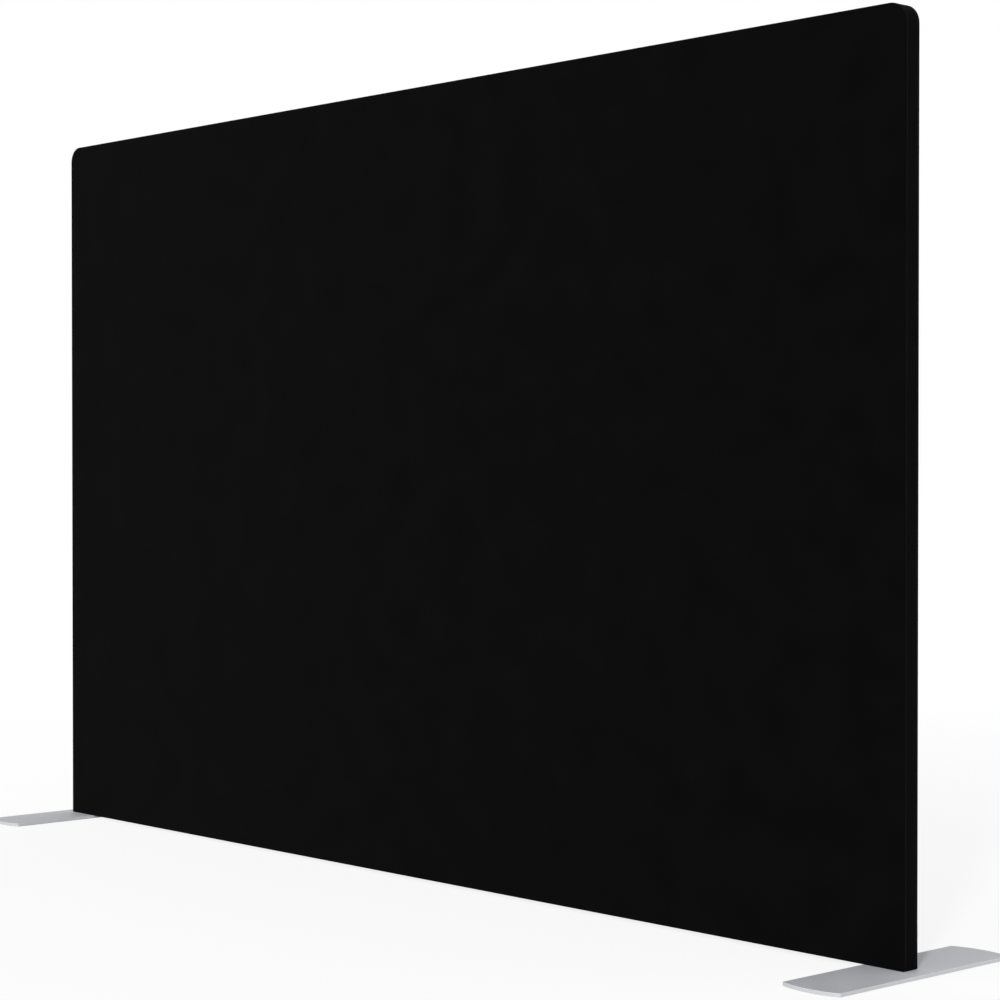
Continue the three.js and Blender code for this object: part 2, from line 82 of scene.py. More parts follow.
CLOTH = FRONT_HIGH.y - FRONT_LOW.y
HALF_WIDTH = FRONT_HIGH.x
COVER_BOTTOM = FRONT_LOW.z
COVER_TOP = FRONT_HIGH.z
CORNER_RADIUS = BAND_HIGH.z - BAND_LOW.z
BAND_HALF = -BAND_LOW.y
ZIP_Z = (UPPER_LOW.z + LOWER_HIGH.z) / 2
TAPE_FACE = REAR_HIGH.y
SEAT_GAP = LOWER_LOW.z - HEM_HIGH.z
HEM_NOTCH = UPRIGHT_LOW.x - SEAT_GAP
SLIDER_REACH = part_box("zip_slider")[1].x + MM


def linear(code):
    """An sRGB hex colour as linear red, green, blue and alpha."""
    shares = [int(code[i : i + 2], 16) / 255 for i in (1, 3, 5)]
    return [c / 12.92 if c <= 0.04045 else ((c + 0.055) / 1.055) ** 2.4 for c in shares] + [1]


# Settings


def number(name, description, default, **settings):
    return bpy.props.FloatProperty(name=name, description=description, default=default, **settings)


def length(name, description, millimetres):
    return number(name, description, millimetres * MM, unit="LENGTH", precision=5)


def angle(name, description, radians):
    return number(name, description, radians, subtype="ANGLE")


def whole(name, description, default):
    return bpy.props.IntProperty(name=name, description=description, default=default)


def colour(name, description, code):
    return bpy.props.FloatVectorProperty(
        name=name, description=description, default=linear(code), subtype="COLOR", size=4
    )


class CoverSettings(bpy.types.PropertyGroup):
    cloth: colour("Cloth", "Dye of the knit cloth", "#050506")
    cloth_light: colour("Cloth, lighter", "Where the dye took a little less", "#080809")
    wale_pitch: length("Wale pitch", "Spacing of the knit's ribs, drawn three times as coarse", 1.5)
    mesh_step: length("Mesh step", "Spacing of the cloth's points across", 9)
    row_step: length("Row step", "Spacing of the sheets' points upwards", 12.6)
    edge_roll: length("Edge roll", "Rounding of a sewn edge", 0.5)
    bay_dip: length("Bay dip", "How far the cloth draws in between the tubes", 1.4)
    dip_reach: length("Dip reach", "How far past a tube's edge the cloth takes to draw in", 45)
    ripple: length("Ripple", "Height of the tension ripples at the frame's corners", 0.3)
    ripple_place: length("Ripple place", "From the frame's corner to where the ripples are highest", 130)
    ripple_reach: length("Ripple reach", "How far from there the ripples die out", 90)
    ripple_fan: whole("Ripple fan", "Ripples in a full circle round the frame's corner", 14)
    pucker: length("Pucker", "Height of the puckers along the zip seam", 0.25)
    pucker_pitch: length("Pucker pitch", "Spacing of the puckers along the seam", 46)
    drift: length("Drift", "Length of the slow drift in the puckers", 310)
    quick_drift: length("Quick drift", "Length of a quicker drift on top of the slow one", 130)
    pucker_reach: length("Pucker reach", "How far from the seam the puckers die out", 22)
    hem_bend: length("Hem bend", "Radius where the hem turns up", 1.2)
    cut_share: number("Cut share", "Cut size over stretched size", 0.985)


class StitchSettings(bpy.types.PropertyGroup):
    thread: colour("Thread", "Black polyester thread", "#0c0c0d")
    pitch: length("Pitch", "One stitch to the next", 3.2)
    run: length("Run", "Length of the thread that shows", 2.5)
    width: length("Width", "Thread width", 0.6)
    inset: length("Inset", "From the band's edge to the stitch line", 3)
    seam_inset: length("Seam inset", "From the zip seam's edges to their stitch lines", 2.3)
    sink: length("Sink", "How far the hem's stitches are drawn in, clear of the feet", 0.15)
    tilt: angle("Tilt", "Random turn of a stitch", 0.08)
    seed: whole("Seed", "Seed of the stitches' random turn", 7)


class ZipSettings(bpy.types.PropertyGroup):
    tape: colour("Tape", "Woven polyester tape", "#161617")
    teeth: colour("Teeth", "Moulded acetal teeth", "#1f1f21")
    lacquer: colour("Lacquer", "Black lacquer on the slider and pull", "#2a2a2d")
    tooth_pitch: length("Tooth pitch", "One tooth to the next on a tape", 3)
    tooth_width: length("Tooth width", "Along the zip", 1.7)
    tooth_reach: length("Tooth reach", "Across the zip", 2.7)
    tooth_rise: length("Tooth rise", "Above the tape", 0.9)
    slit: length("Slit", "Half the gap between the rows of teeth", 0.55)
    bead: length("Bead", "Rise of the corded edge that the teeth are moulded on", 0.35)
    tape_edge: length("Tape edge", "Rounding of a tape's edge", 0.25)
    tooth_edge: length("Tooth edge", "Rounding of a tooth's edges", 0.18)
    tooth_lift: length("Tooth lift", "From the tape's face to the foot of a tooth", 0.1)
    tooth_inset: length("Tooth inset", "From the cover's end to the rows of teeth", 2)
    stop_width: length("Stop width", "Block that stops the slider, along the zip", 2.6)
    stop_radius: length("Stop radius", "Rounding of a stop's corners", 0.8)
    stop_edge: length("Stop edge", "Rounding of a stop's edges", 0.3)
    stop_lift: length("Stop lift", "From the tape's face to the middle of a stop", 0.3)
    wall: length("Slider wall", "Thickness of the slider's two plates", 1.3)
    bridge: length("Bridge", "Length of the slider's bridge", 9)
    bridge_wall: length("Bridge wall", "Thickness of the bridge", 1.2)
    bridge_width: length("Bridge width", "Across the zip", 2.6)
    bridge_radius: length("Bridge radius", "Rounding of the bridge's two upper corners", 1.4)
    web_length: length("Web length", "Of the web that joins the slider's plates", 8)
    web_width: length("Web width", "Of the slider's web, in the channel between the tapes", 1)
    pull_gap: length("Pull gap", "Between the slider's outer plate and the pull", 0.6)
    tab_radius: length("Tab radius", "Rounding of the pull's corners", 2)
    tab_edge: length("Tab edge", "Rounding of the pull's edges", 0.35)
    window_reach: length("Window reach", "From the slider's middle to the window's far end", 5.5)
    window_width: length("Window width", "Of the pull's window, round the bridge", 3.2)
    window_radius: length("Window radius", "Rounding of the window's corners", 0.3)
    grip_place: length("Grip place", "From the pull's tip to the middle of its slot", 8.5)
    grip_length: length("Grip length", "Of the slot in the pull", 9)
    grip_width: length("Grip width", "Of the slot in the pull, whose ends are round", 3)


class FootSettings(bpy.types.PropertyGroup):
    paint: colour("Powder coat", "Satin silver", "#b8b9bd")
    rubber: colour("Rubber", "Pad under the plate", "#1b1b1c")
    zinc: colour("Zinc", "Plated bolt", "#b4b7bb")
    end_rise: length("End rise", "How far the end's arc stands past its corners", 11)
    corner_radius: length("Corner radius", "Plan radius of the plate's corners", 4)
    edge_radius: length("Edge radius", "Rounding of the cut edge under the coat", 0.7)
    peel: length("Peel", "Size of the coat's orange peel", 1.6)
    shank_radius: length("Shank radius", "Of the bolt", 4)
    head_depth: length("Head depth", "Of the bolt's countersunk head", 4)
    bolt_gap: length("Bolt gap", "Between the bolt and the plate's hole", 0.3)
    thread_pitch: length("Thread pitch", "Of the bolt", 1.25)
    thread_depth: length("Thread depth", "From crest to root", 0.6)
    socket_width: length("Socket width", "Hex key size, across its flats", 5)
    socket_depth: length("Socket depth", "Depth of the hex socket", 2.4)


class FrameSettings(bpy.types.PropertyGroup):
    aluminium: colour("Aluminium", "Satin anodised tube", "#c9cbce")
    nylon: colour("Nylon", "Moulded connectors", "#1e1f21")
    nickel: colour("Nickel", "Plated pins", "#c8c5bf")
    spring: colour("Spring steel", "Blued leaf springs", "#6f747c")
    brass: colour("Brass", "Inserts", "#c3a05c")
    edge: length("Edge", "Rounding of tube and connector edges", 0.3)
    leaf_edge: length("Leaf edge", "Rounding of a leaf spring's edges", 0.1)
    pin_radius: length("Pin radius", "Of a snap button", 4)
    dome: length("Dome", "Height of a snap button's domed end", 2)
    flange_radius: length("Flange radius", "Of the flange that keeps a snap button in its tube", 5.5)
    flange: length("Flange", "Thickness of the flange", 1)


class StageSettings(bpy.types.PropertyGroup):
    key_azimuth: angle("Key azimuth", "Right of the front", math.radians(31))
    key_elevation: angle("Key elevation", "Above the floor", math.radians(21))
    key_softness: angle("Key softness", "Width of the lamp in the sky", math.radians(6))
    key_strength: number("Key strength", "Of the sun lamp", 2.35)
    sky_strength: number("Sky strength", "Soft light from all round", 0.74)
    floor_white_share: number("Floor white share", "Plain white in the floor near the display", 0.84)
    floor_near: length("Floor near", "How far out the floor keeps that share of white", 1300)
    floor_far: length("Floor far", "How far out the floor is all white", 4000)


# Nodes


def node(tree, kind, inputs=None, **settings):
    """Adds a node with its settings, and sets or links its inputs."""
    made = tree.nodes.new(kind)
    for name, value in settings.items():
        setattr(made, name, value)
    for key, value in (inputs or {}).items():
        socket = made.inputs[key]
        if isinstance(value, bpy.types.NodeSocket):
            tree.links.new(value, socket)
        else:
            socket.default_value = value
    return made


def new_material(name):
    material = bpy.data.materials.new(name)
    material.use_nodes = True
    material.node_tree.nodes.clear()
    return material, material.node_tree


def surface(tree, inputs):
    shader = node(tree, "ShaderNodeBsdfPrincipled", inputs)
    node(tree, "ShaderNodeOutputMaterial", {"Surface": shader.outputs[0]})


def placed(tree, scale=(1, 1, 1)):
    """Object coordinates in metres, with each axis scaled."""
    where = node(tree, "ShaderNodeTexCoord").outputs["Object"]
    return node(tree, "ShaderNodeMapping", {"Vector": where, "Scale": scale}).outputs[0]


def patches(tree, vector, size, low=0, high=1, detail=2, middle=(0.3, 0.7)):
    """Soft patches about size metres across, as levels between low and high. The noise under them
    has its middle range spread over those levels."""
    inputs = {"Vector": vector, "Scale": 1 / size, "Detail": detail}
    spread = {"Value": node(tree, "ShaderNodeTexNoise", inputs).outputs["Fac"]}
    spread |= {"From Min": middle[0], "From Max": middle[1], "To Min": low, "To Max": high}
    return node(tree, "ShaderNodeMapRange", spread).outputs["Result"]


def surface(tree, inputs, tint=None, relief=None):
    """Ends a material. Its tint is a level and the two colours that the level lies between, and its
    relief is a height and how deep that is in metres."""
    if tint:
        level, first, second = tint
        mix = node(tree, "ShaderNodeMix", {0: level, 6: first, 7: second}, data_type="RGBA")
        inputs["Base Color"] = mix.outputs[2]
    if relief:
        height, depth = relief
        raised = node(tree, "ShaderNodeBump", {"Height": height, "Distance": depth})
        inputs["Normal"] = raised.outputs[0]
    shader = node(tree, "ShaderNodeBsdfPrincipled", inputs)
    node(tree, "ShaderNodeOutputMaterial", {"Surface": shader.outputs[0]})


def shade(value, factor):
    """A lighter or darker copy of a colour."""
    return [min(1, c * factor) for c in value[:3]] + [1]


# Materials

# A wave texture repeats every 2 pi / 20 of its scaled length
WAVE_LENGTH = math.tau / 20


def stretch_knit(cover):
    """Polyester warp knit, dyed black and heat-set: matt, with ribs and cross rows of loops that
    show only close up, a dye that varies over a hand's width, and almost no shine."""
    material, tree = new_material("black stretch polyester knit")
    cloth = node(tree, "ShaderNodeUVMap", uv_map=CLOTH_UV).outputs[0]
    rib = {"Vector": cloth, "Scale": WAVE_LENGTH / cover.wale_pitch}
    wales = node(tree, "ShaderNodeTexWave", rib, bands_direction="X").outputs["Fac"]
    loop = {"Vector": cloth, "Scale": WAVE_LENGTH / (cover.wale_pitch * 0.8)}
    courses = node(tree, "ShaderNodeTexWave", loop, bands_direction="Y").outputs["Fac"]
    knit = node(tree, "ShaderNodeMath", {0: wales, 1: courses}, operation="MULTIPLY").outputs[0]
    dye = {0: patches(tree, cloth, 90 * MM), 1: patches(tree, cloth, 2 * MM, 0.4)}
    fleck = node(tree, "ShaderNodeMath", dye, operation="MULTIPLY").outputs[0]
    inputs = {
        "IOR": 1.57,
        "Roughness": 0.88,
        "Specular IOR Level": 0.015,
        "Sheen Weight": 0.008,
        "Sheen Roughness": 0.45,
    }
    surface(tree, inputs, (fleck, cover.cloth, cover.cloth_light), (knit, 0.25 * MM))
    return material


def sewing_thread(stitch):
    """Twisted polyester thread: a little glossier than the cloth."""
    material, tree = new_material("black polyester sewing thread")
    ply = {"Vector": placed(tree), "Scale": WAVE_LENGTH / (0.7 * MM)}
    twist = node(tree, "ShaderNodeTexWave", ply, bands_direction="DIAGONAL").outputs["Fac"]
    inputs = {"IOR": 1.57, "Roughness": 0.6, "Specular IOR Level": 0.2}
    surface(tree, inputs, (twist, stitch.thread, shade(stitch.thread, 1.5)))
    return material


def zip_tape_twill(zips):
    """Woven zip tape: a herringbone of fine ribs, here 1.2 mm apart so that they show."""
    material, tree = new_material("black woven zip tape")
    cloth = node(tree, "ShaderNodeUVMap", uv_map=CLOTH_UV).outputs[0]
    rib = {"Vector": cloth, "Scale": WAVE_LENGTH / (1.2 * MM)}
    twill = node(tree, "ShaderNodeTexWave", rib, bands_direction="DIAGONAL").outputs["Fac"]
    worn = patches(tree, cloth, 25 * MM)
    inputs = {"IOR": 1.57, "Roughness": 0.8, "Specular IOR Level": 0.12}
    surface(tree, inputs, (worn, zips.tape, shade(zips.tape, 1.4)), (twill, 0.15 * MM))
    return material


def moulded_acetal(zips):
    """Injection-moulded acetal: satin, with a faint grain from the mould."""
    material, tree = new_material("black moulded acetal")
    where = placed(tree)
    size = {"Vector": where, "Scale": 1 / (0.4 * MM)}
    grain = node(tree, "ShaderNodeTexNoise", size).outputs["Fac"]
    inputs = {
        "Base Color": zips.teeth,
        "IOR": 1.48,
        "Roughness": patches(tree, where, 4 * MM, 0.32, 0.45),
    }
    surface(tree, inputs, relief=(grain, 0.03 * MM))
    return material


def lacquered_zinc(zips):
    """Die-cast zinc under black lacquer, rubbed a little thinner in patches."""
    material, tree = new_material("black lacquered die-cast zinc")
    where = placed(tree)
    rubbed = patches(tree, where, 5 * MM, detail=3, middle=(0.5, 0.75))
    size = {"Vector": where, "Scale": 1 / (1.2 * MM)}
    flow = node(tree, "ShaderNodeTexNoise", size).outputs["Fac"]
    inputs = {"Metallic": 0.3, "Roughness": patches(tree, where, 2 * MM, 0.28, 0.42)}
    surface(tree, inputs, (rubbed, zips.lacquer, shade(zips.lacquer, 2.2)), (flow, 0.02 * MM))
    return material


def silver_powder_coat(feet):
    """Silver powder coat on plate: satin, orange peel a millimetre or two across, fine flake, and
    edges that handling has polished brighter."""
    material, tree = new_material("satin silver powder coat")
    where = placed(tree)
    size = {"Vector": where, "Scale": 1 / feet.peel, "Detail": 1}
    peel = node(tree, "ShaderNodeTexNoise", size).outputs["Fac"]
    haze = patches(tree, where, 60 * MM)
    flake = {0: patches(tree, where, 0.5 * MM, detail=0), 1: haze}
    mottled = node(tree, "ShaderNodeMath", flake, operation="MULTIPLY").outputs[0]
    powders = {0: mottled, 6: shade(feet.paint, 0.96), 7: shade(feet.paint, 1.04)}
    coat = node(tree, "ShaderNodeMix", powders, data_type="RGBA").outputs[2]
    edge = node(tree, "ShaderNodeAttribute", attribute_name="edge_wear").outputs["Fac"]
    hands = {0: edge, 1: patches(tree, where, 14 * MM, 0.1, 0.8, detail=3)}
    rubbed = node(tree, "ShaderNodeMath", hands, operation="MULTIPLY").outputs[0]
    satin = {"Value": haze, "To Min": 0.54, "To Max": 0.62}
    inputs = {
        "Metallic": 0.06,
        "Roughness": node(tree, "ShaderNodeMapRange", satin).outputs["Result"],
        "Specular IOR Level": 0.3,
    }
    surface(tree, inputs, (rubbed, coat, shade(feet.paint, 1.35)), (peel, 0.04 * MM))
    return material


def pad_rubber(feet):
    """Moulded rubber sheet: dull, finely pebbled, with dust pressed into it in patches."""
    material, tree = new_material("black rubber sheet")
    where = placed(tree)
    dust = patches(tree, where, 30 * MM, detail=4, middle=(0.45, 0.8))
    size = {"Vector": where, "Scale": 1 / (1.5 * MM)}
    pebble = node(tree, "ShaderNodeTexVoronoi", size).outputs["Distance"]
    inputs = {"IOR": 1.52, "Roughness": 0.85}
    surface(tree, inputs, (dust, feet.rubber, shade(feet.rubber, 2.5)), (pebble, 0.12 * MM))
    return material


def metal(name, hue, roughness, stretch, size, depth):
    """A bare or plated metal whose grain runs the way that its coordinates are stretched."""
    material, tree = new_material(name)
    inputs = {"Vector": placed(tree, stretch), "Scale": 1 / size, "Detail": 3}
    grain = node(tree, "ShaderNodeTexNoise", inputs).outputs["Fac"]
    spread = {"Value": grain, "From Min": 0.3, "From Max": 0.7}
    level = node(tree, "ShaderNodeMapRange", spread).outputs["Result"]
    spread |= {"To Min": roughness - 0.06, "To Max": roughness + 0.06}
    dull = node(tree, "ShaderNodeMapRange", spread).outputs["Result"]
    inputs = {"Metallic": 1, "Roughness": dull}
    surface(tree, inputs, (level, shade(hue, 0.93), shade(hue, 1.05)), (grain, depth))
    return material


def anodised(parts, direction):
    """Extruded and satin anodised: die lines run along the tube, here 1.5 mm apart."""
    stretch = [0.004 if axis == direction else 1 for axis in "XYZ"]
    name = f"anodised aluminium along {direction}"
    return metal(name, parts.aluminium, 0.36, stretch, 1.5 * MM, 0.02 * MM)


def moulded_nylon(parts):
    """Glass-filled nylon: matt, with a pebbled skin and pale glass fibres just under it."""
    material, tree = new_material("black glass-filled nylon")
    fibre = patches(tree, placed(tree, (1, 6, 6)), 1.5 * MM, detail=3, middle=(0.55, 0.8))
    size = {"Vector": placed(tree), "Scale": 1 / (0.8 * MM)}
    pebble = node(tree, "ShaderNodeTexNoise", size).outputs["Fac"]
    inputs = {"IOR": 1.53, "Roughness": 0.55}
    surface(tree, inputs, (fibre, parts.nylon, shade(parts.nylon, 1.8)), (pebble, 0.06 * MM))
    return material


# Meshes


def add_object(name, mesh):
    made = bpy.data.objects.new(name, mesh)
    bpy.context.scene.collection.objects.link(made)
    return made


def plain(made):
    """Replaces an object's shape by its evaluated one, and drops its modifiers."""
    graph = bpy.context.evaluated_depsgraph_get()
    mesh = bpy.data.meshes.new_from_object(made.evaluated_get(graph), depsgraph=graph)
    made.modifiers.clear()
    made.data = mesh
    return made


def modify(made, kind, **settings):
    modifier = made.modifiers.new(kind.title(), kind)
    for name, value in settings.items():
        setattr(modifier, name, value)
    return modifier


def smooth(made, degrees=35, flat_faces=True):
    """Smooth shading up to an angle, with each flat face kept flat between its rounded edges."""
    made.data.shade_smooth()
    made.data.set_sharp_from_angle(angle=math.radians(degrees))
    if flat_faces:
        modify(made, "WEIGHTED_NORMAL", keep_sharp=True)
        plain(made)


def painted(made, material):
    made.data.materials.clear()
    made.data.materials.append(material)


def dress(made, material, body, nodes=()):
    """Gives a piece its material and body, and hides the CAD nodes that it stands for."""
    if material:
        painted(made, material)
    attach(made, body)
    if nodes:
        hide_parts(*nodes)
    return made


def mesh_object(name, bm):
    mesh = bpy.data.meshes.new(name)
    bmesh.ops.remove_doubles(bm, verts=bm.verts, dist=1e-7)
    bmesh.ops.recalc_face_normals(bm, faces=bm.faces)
    bm.to_mesh(mesh)
    bm.free()
    return add_object(name, mesh)


def turned(name, profile, turn, segments=48):
    """A solid of revolution. The profile's points are (radius, height) from axis to axis, and turn
    takes the upright solid to its place."""
    bm = bmesh.new()
    rings = []
    for radius, height in profile:
        if radius == 0:
            rings.append([bm.verts.new(turn @ Vector((0, 0, height)))])
            continue
        angles = [math.tau * i / segments for i in range(segments)]
        rings.append([
            bm.verts.new(turn @ Vector((radius * math.cos(a), radius * math.sin(a), height)))
            for a in angles
        ])
    for lower, upper in zip(rings, rings[1:]):
        for i in range(segments):
            corners = [lower[i % len(lower)], lower[(i + 1) % len(lower)]]
            corners += [upper[(i + 1) % len(upper)], upper[i % len(upper)]]
            bm.faces.new(dict.fromkeys(corners))
    return mesh_object(name, bm)


def plate(name, outlines, thickness, edge, turn, steps=2):
    """A flat plate from an outer outline and its holes, with rounded edges, middle at height 0."""
    curve = bpy.data.curves.new(name, "CURVE")
    curve.dimensions = "2D"
    curve.fill_mode = "BOTH"
    curve.extrude = thickness / 2 - edge
    curve.bevel_depth = edge
    curve.bevel_resolution = steps
    curve.offset = -edge
    for outline in outlines:
        spline = curve.splines.new("POLY")
        spline.points.add(len(outline) - 1)
        spline.use_cyclic_u = True
        for point, (x, y) in zip(spline.points, outline):
            point.co = (x, y, 0, 1)
    source = add_object(name + "_curve", curve)
    graph = bpy.context.evaluated_depsgraph_get()
    mesh = bpy.data.meshes.new_from_object(source.evaluated_get(graph), depsgraph=graph)
    bpy.data.objects.remove(source)
    bm = bmesh.new()
    bm.from_mesh(mesh)
    bpy.data.meshes.remove(mesh)
    bm.transform(turn)
    return mesh_object(name, bm)


def joined(name, pieces):
    """One object from several, each a closed shell."""
    bm = bmesh.new()
    for piece in pieces:
        bm.from_mesh(piece.data)
        bpy.data.objects.remove(piece)
    mesh = bpy.data.meshes.new(name)
    bm.to_mesh(mesh)
    bm.free()
    return add_object(name, mesh)


def arc(centre, radius, start, end, count):
    """Points on a circle from one angle to another, both included."""
    angles = [start + (end - start) * i / count for i in range(count + 1)]
    return [(centre[0] + radius * math.cos(a), centre[1] + radius * math.sin(a)) for a in angles]


def rounded_box(width, height, radius, centre=(0, 0)):
    points = []
    corners = [(1, 1), (-1, 1), (-1, -1), (1, -1)]
    for i, (sx, sy) in enumerate(corners):
        middle = (centre[0] + sx * (width / 2 - radius), centre[1] + sy * (height / 2 - radius))
        points += arc(middle, radius, i * math.pi / 2, (i + 1) * math.pi / 2, 6)
    return points


def upright_turn(y):
    """Takes a plate drawn in X and Y to the plane of X and Z, with its middle at that y."""
    return Matrix.Translation((0, y, 0)) @ Matrix.Rotation(math.pi / 2, 4, "X")


# Rows of small pieces along a path


def row_tree():
    """Geometry Nodes: copies of one small piece at an even spacing along a path, each turned to
    follow the path and to face the way that the path's outward attribute says."""
    tree = bpy.data.node_groups.new("row along a path", "GeometryNodeTree")
    sockets = {"Path": "Geometry", "Piece": "Object", "Spacing": "Float"}
    sockets |= {"Tilt": "Float", "Seed": "Int", "Finish": "Material"}
    for name, kind in sockets.items():
        tree.interface.new_socket(name, in_out="INPUT", socket_type="NodeSocket" + kind)
    tree.interface.new_socket("Row", in_out="OUTPUT", socket_type="NodeSocketGeometry")
    given = node(tree, "NodeGroupInput").outputs
    curve = node(tree, "GeometryNodeMeshToCurve", {"Mesh": given["Path"]})
    spacing = {"Curve": curve.outputs[0], "Length": given["Spacing"]}
    points = node(tree, "GeometryNodeResampleCurve", spacing, mode="LENGTH")
    tangent = node(tree, "GeometryNodeInputTangent").outputs[0]
    named = {"Name": "outward"}
    outward = node(tree, "GeometryNodeInputNamedAttribute", named, data_type="FLOAT_VECTOR")
    follow = node(tree, "FunctionNodeAlignRotationToVector", {"Vector": tangent}, axis="X")
    inputs = {"Rotation": follow.outputs[0], "Vector": outward.outputs[0]}
    face = node(tree, "FunctionNodeAlignRotationToVector", inputs, axis="Z", pivot_axis="X")
    least = {0: given["Tilt"], 1: -1}
    least = node(tree, "ShaderNodeMath", least, operation="MULTIPLY").outputs[0]
    inputs = {2: least, 3: given["Tilt"], "Seed": given["Seed"]}
    random = node(tree, "FunctionNodeRandomValue", inputs, data_type="FLOAT")
    inputs = {"Axis": ALONG_Z, "Angle": random.outputs[1]}
    sway = node(tree, "FunctionNodeAxisAngleToRotation", inputs)
    inputs = {"Rotation": face.outputs[0], "Rotate By": sway.outputs[0]}
    turn = node(tree, "FunctionNodeRotateRotation", inputs, rotation_space="LOCAL")
    piece = node(tree, "GeometryNodeObjectInfo", {"Object": given["Piece"]})
    inputs = {"Points": points.outputs[0], "Instance": piece.outputs["Geometry"]}
    inputs["Rotation"] = turn.outputs[0]
    copies = node(tree, "GeometryNodeInstanceOnPoints", inputs)
    real = node(tree, "GeometryNodeRealizeInstances", {"Geometry": copies.outputs[0]})
    inputs = {"Geometry": real.outputs[0], "Material": given["Finish"]}
    finished = node(tree, "GeometryNodeSetMaterial", inputs)
    node(tree, "NodeGroupOutput", {"Row": finished.outputs[0]})
    return tree


def row_of(name, paths, piece, spacing, finish, tilt=0.0, seed=0):
    """A plain mesh of copies of piece along paths, each a list of (point, outward)."""
    points, outwards, edges = [], [], []
    for path in paths:
        start = len(points)
        edges += [(start + i, start + i + 1) for i in range(len(path) - 1)]
        points += [point for point, _ in path]
        outwards += [outward for _, outward in path]
    mesh = bpy.data.meshes.new(name)
    mesh.from_pydata(points, edges, [])
    attribute = mesh.attributes.new("outward", "FLOAT_VECTOR", "POINT")
    attribute.data.foreach_set("vector", [c for outward in outwards for c in outward])
    made = add_object(name, mesh)
    tree = bpy.data.node_groups.get("row along a path") or row_tree()
    modifier = modify(made, "NODES", node_group=tree)
    values = {"Piece": piece, "Spacing": spacing, "Tilt": tilt, "Seed": seed, "Finish": finish}
    for item in tree.interface.items_tree:
        if item.in_out == "INPUT" and item.name in values:
            modifier[item.identifier] = values[item.name]
    plain(made)
    painted(made, finish)
    smooth(made, 50, flat_faces=False)
    return made


def stitch_piece(stitch):
    """One stitch: a short thread lying along X, pulled down into the cloth at both ends."""
    turns = [math.pi * i / 5 for i in range(1, 5)]
    ball = [(0, -0.5)] + [(0.5 * math.sin(a), -0.5 * math.cos(a)) for a in turns] + [(0, 0.5)]
    size = Matrix.Diagonal((stitch.run, stitch.width, stitch.width, 1))
    return turned("stitch", ball, size @ Matrix.Rotation(math.pi / 2, 4, "Y"), 6)


def stitch_rows(name, paths, scene):
    stitch = scene.display_stitch
    piece = stitch_piece(stitch)
    finish = bpy.data.materials.get("black polyester sewing thread") or sewing_thread(stitch)
    made = row_of(name, paths, piece, stitch.pitch, finish, stitch.tilt, stitch.seed)
    bpy.data.objects.remove(piece)
    dress(made, None, "frame")
    return made


# Cover


def cloth_piece(name, rows, outward, edge, keep=None):
    """A sheet from rows of (point, u, v) on its outer face: thickened inwards, and rolled at its
    edges. Its first cell faces outward, and keep(row, column) says which cells there are."""
    bm = bmesh.new()
    uv = bm.loops.layers.uv.new(CLOTH_UV)
    verts = [[bm.verts.new(point) for point, _, _ in row] for row in rows]
    for i in range(len(rows) - 1):
        for j in range(len(rows[0]) - 1):
            if keep and not keep(i, j):
                continue
            corners = [(i, j), (i, j + 1), (i + 1, j + 1), (i + 1, j)]
            face = bm.faces.new([verts[a][b] for a, b in corners])
            for loop, (a, b) in zip(face.loops, corners):
                loop[uv].uv = rows[a][b][1:]
    bmesh.ops.delete(bm, geom=[v for v in bm.verts if not v.link_faces], context="VERTS")
    bm.normal_update()
    bm.faces.ensure_lookup_table()
    if bm.faces[0].normal.dot(outward) < 0:
        bmesh.ops.reverse_faces(bm, faces=bm.faces)
    mesh = bpy.data.meshes.new(name)
    bm.to_mesh(mesh)
    bm.free()
    made = add_object(name, mesh)
    modify(made, "SOLIDIFY", thickness=CLOTH, offset=-1)
    modify(made, "BEVEL", width=edge, segments=3, limit_method="ANGLE", angle_limit=math.radians(60))
    plain(made)
    smooth(made, 50)
    return made


def spaced(span, radius, step):
    """Distances across a span, close together at both ends, where a corner may turn."""
    shares = (0, 0.06, 0.15, 0.25, 0.36, 0.47, 0.58, 0.69, 0.8, 0.9, 1)
    ends = [share * radius for share in shares]
    count = round((span - 2 * radius) / step)
    middle = [radius + (span - 2 * radius) * i / count for i in range(1, count)]
    return ends + middle + [span - end for end in reversed(ends)]


def round_corner(x, z):
    """Turns the square top corners of a grid into quarter discs."""
    a = (abs(x) - (HALF_WIDTH - CORNER_RADIUS)) / CORNER_RADIUS
    b = (z - (COVER_TOP - CORNER_RADIUS)) / CORNER_RADIUS
    if a <= 0 or b <= 0:
        return x, z
    share = max(a, b) / math.hypot(a, b)
    new_x = HALF_WIDTH - CORNER_RADIUS + a * share * CORNER_RADIUS
    new_z = COVER_TOP - CORNER_RADIUS + b * share * CORNER_RADIUS
    return math.copysign(new_x, x), new_z


def drawn_in(x, z, bay_bottom, cover):
    """How far the cloth lies inside its flat face: it leaves the tubes' inner edges, draws in over
    the open bay, and ripples a little where the corners pull."""
    side, top = UPRIGHT_LOW.x, TOP_RAIL_LOW.z
    inset = min(side - abs(x), z - bay_bottom, top - z)
    if inset <= 0:
        return 0
    share = 1 - math.exp(-inset / cover.dip_reach)
    depth = cover.bay_dip * share
    for corner_z in (bay_bottom, top):
        dx, dz = side - abs(x), abs(z - corner_z)
        off = (math.hypot(dx, dz) - cover.ripple_place) / cover.ripple_reach
        fan = math.cos(cover.ripple_fan * math.atan2(dz, dx))
        depth += cover.ripple * share * math.exp(-(off**2)) * fan
    return depth


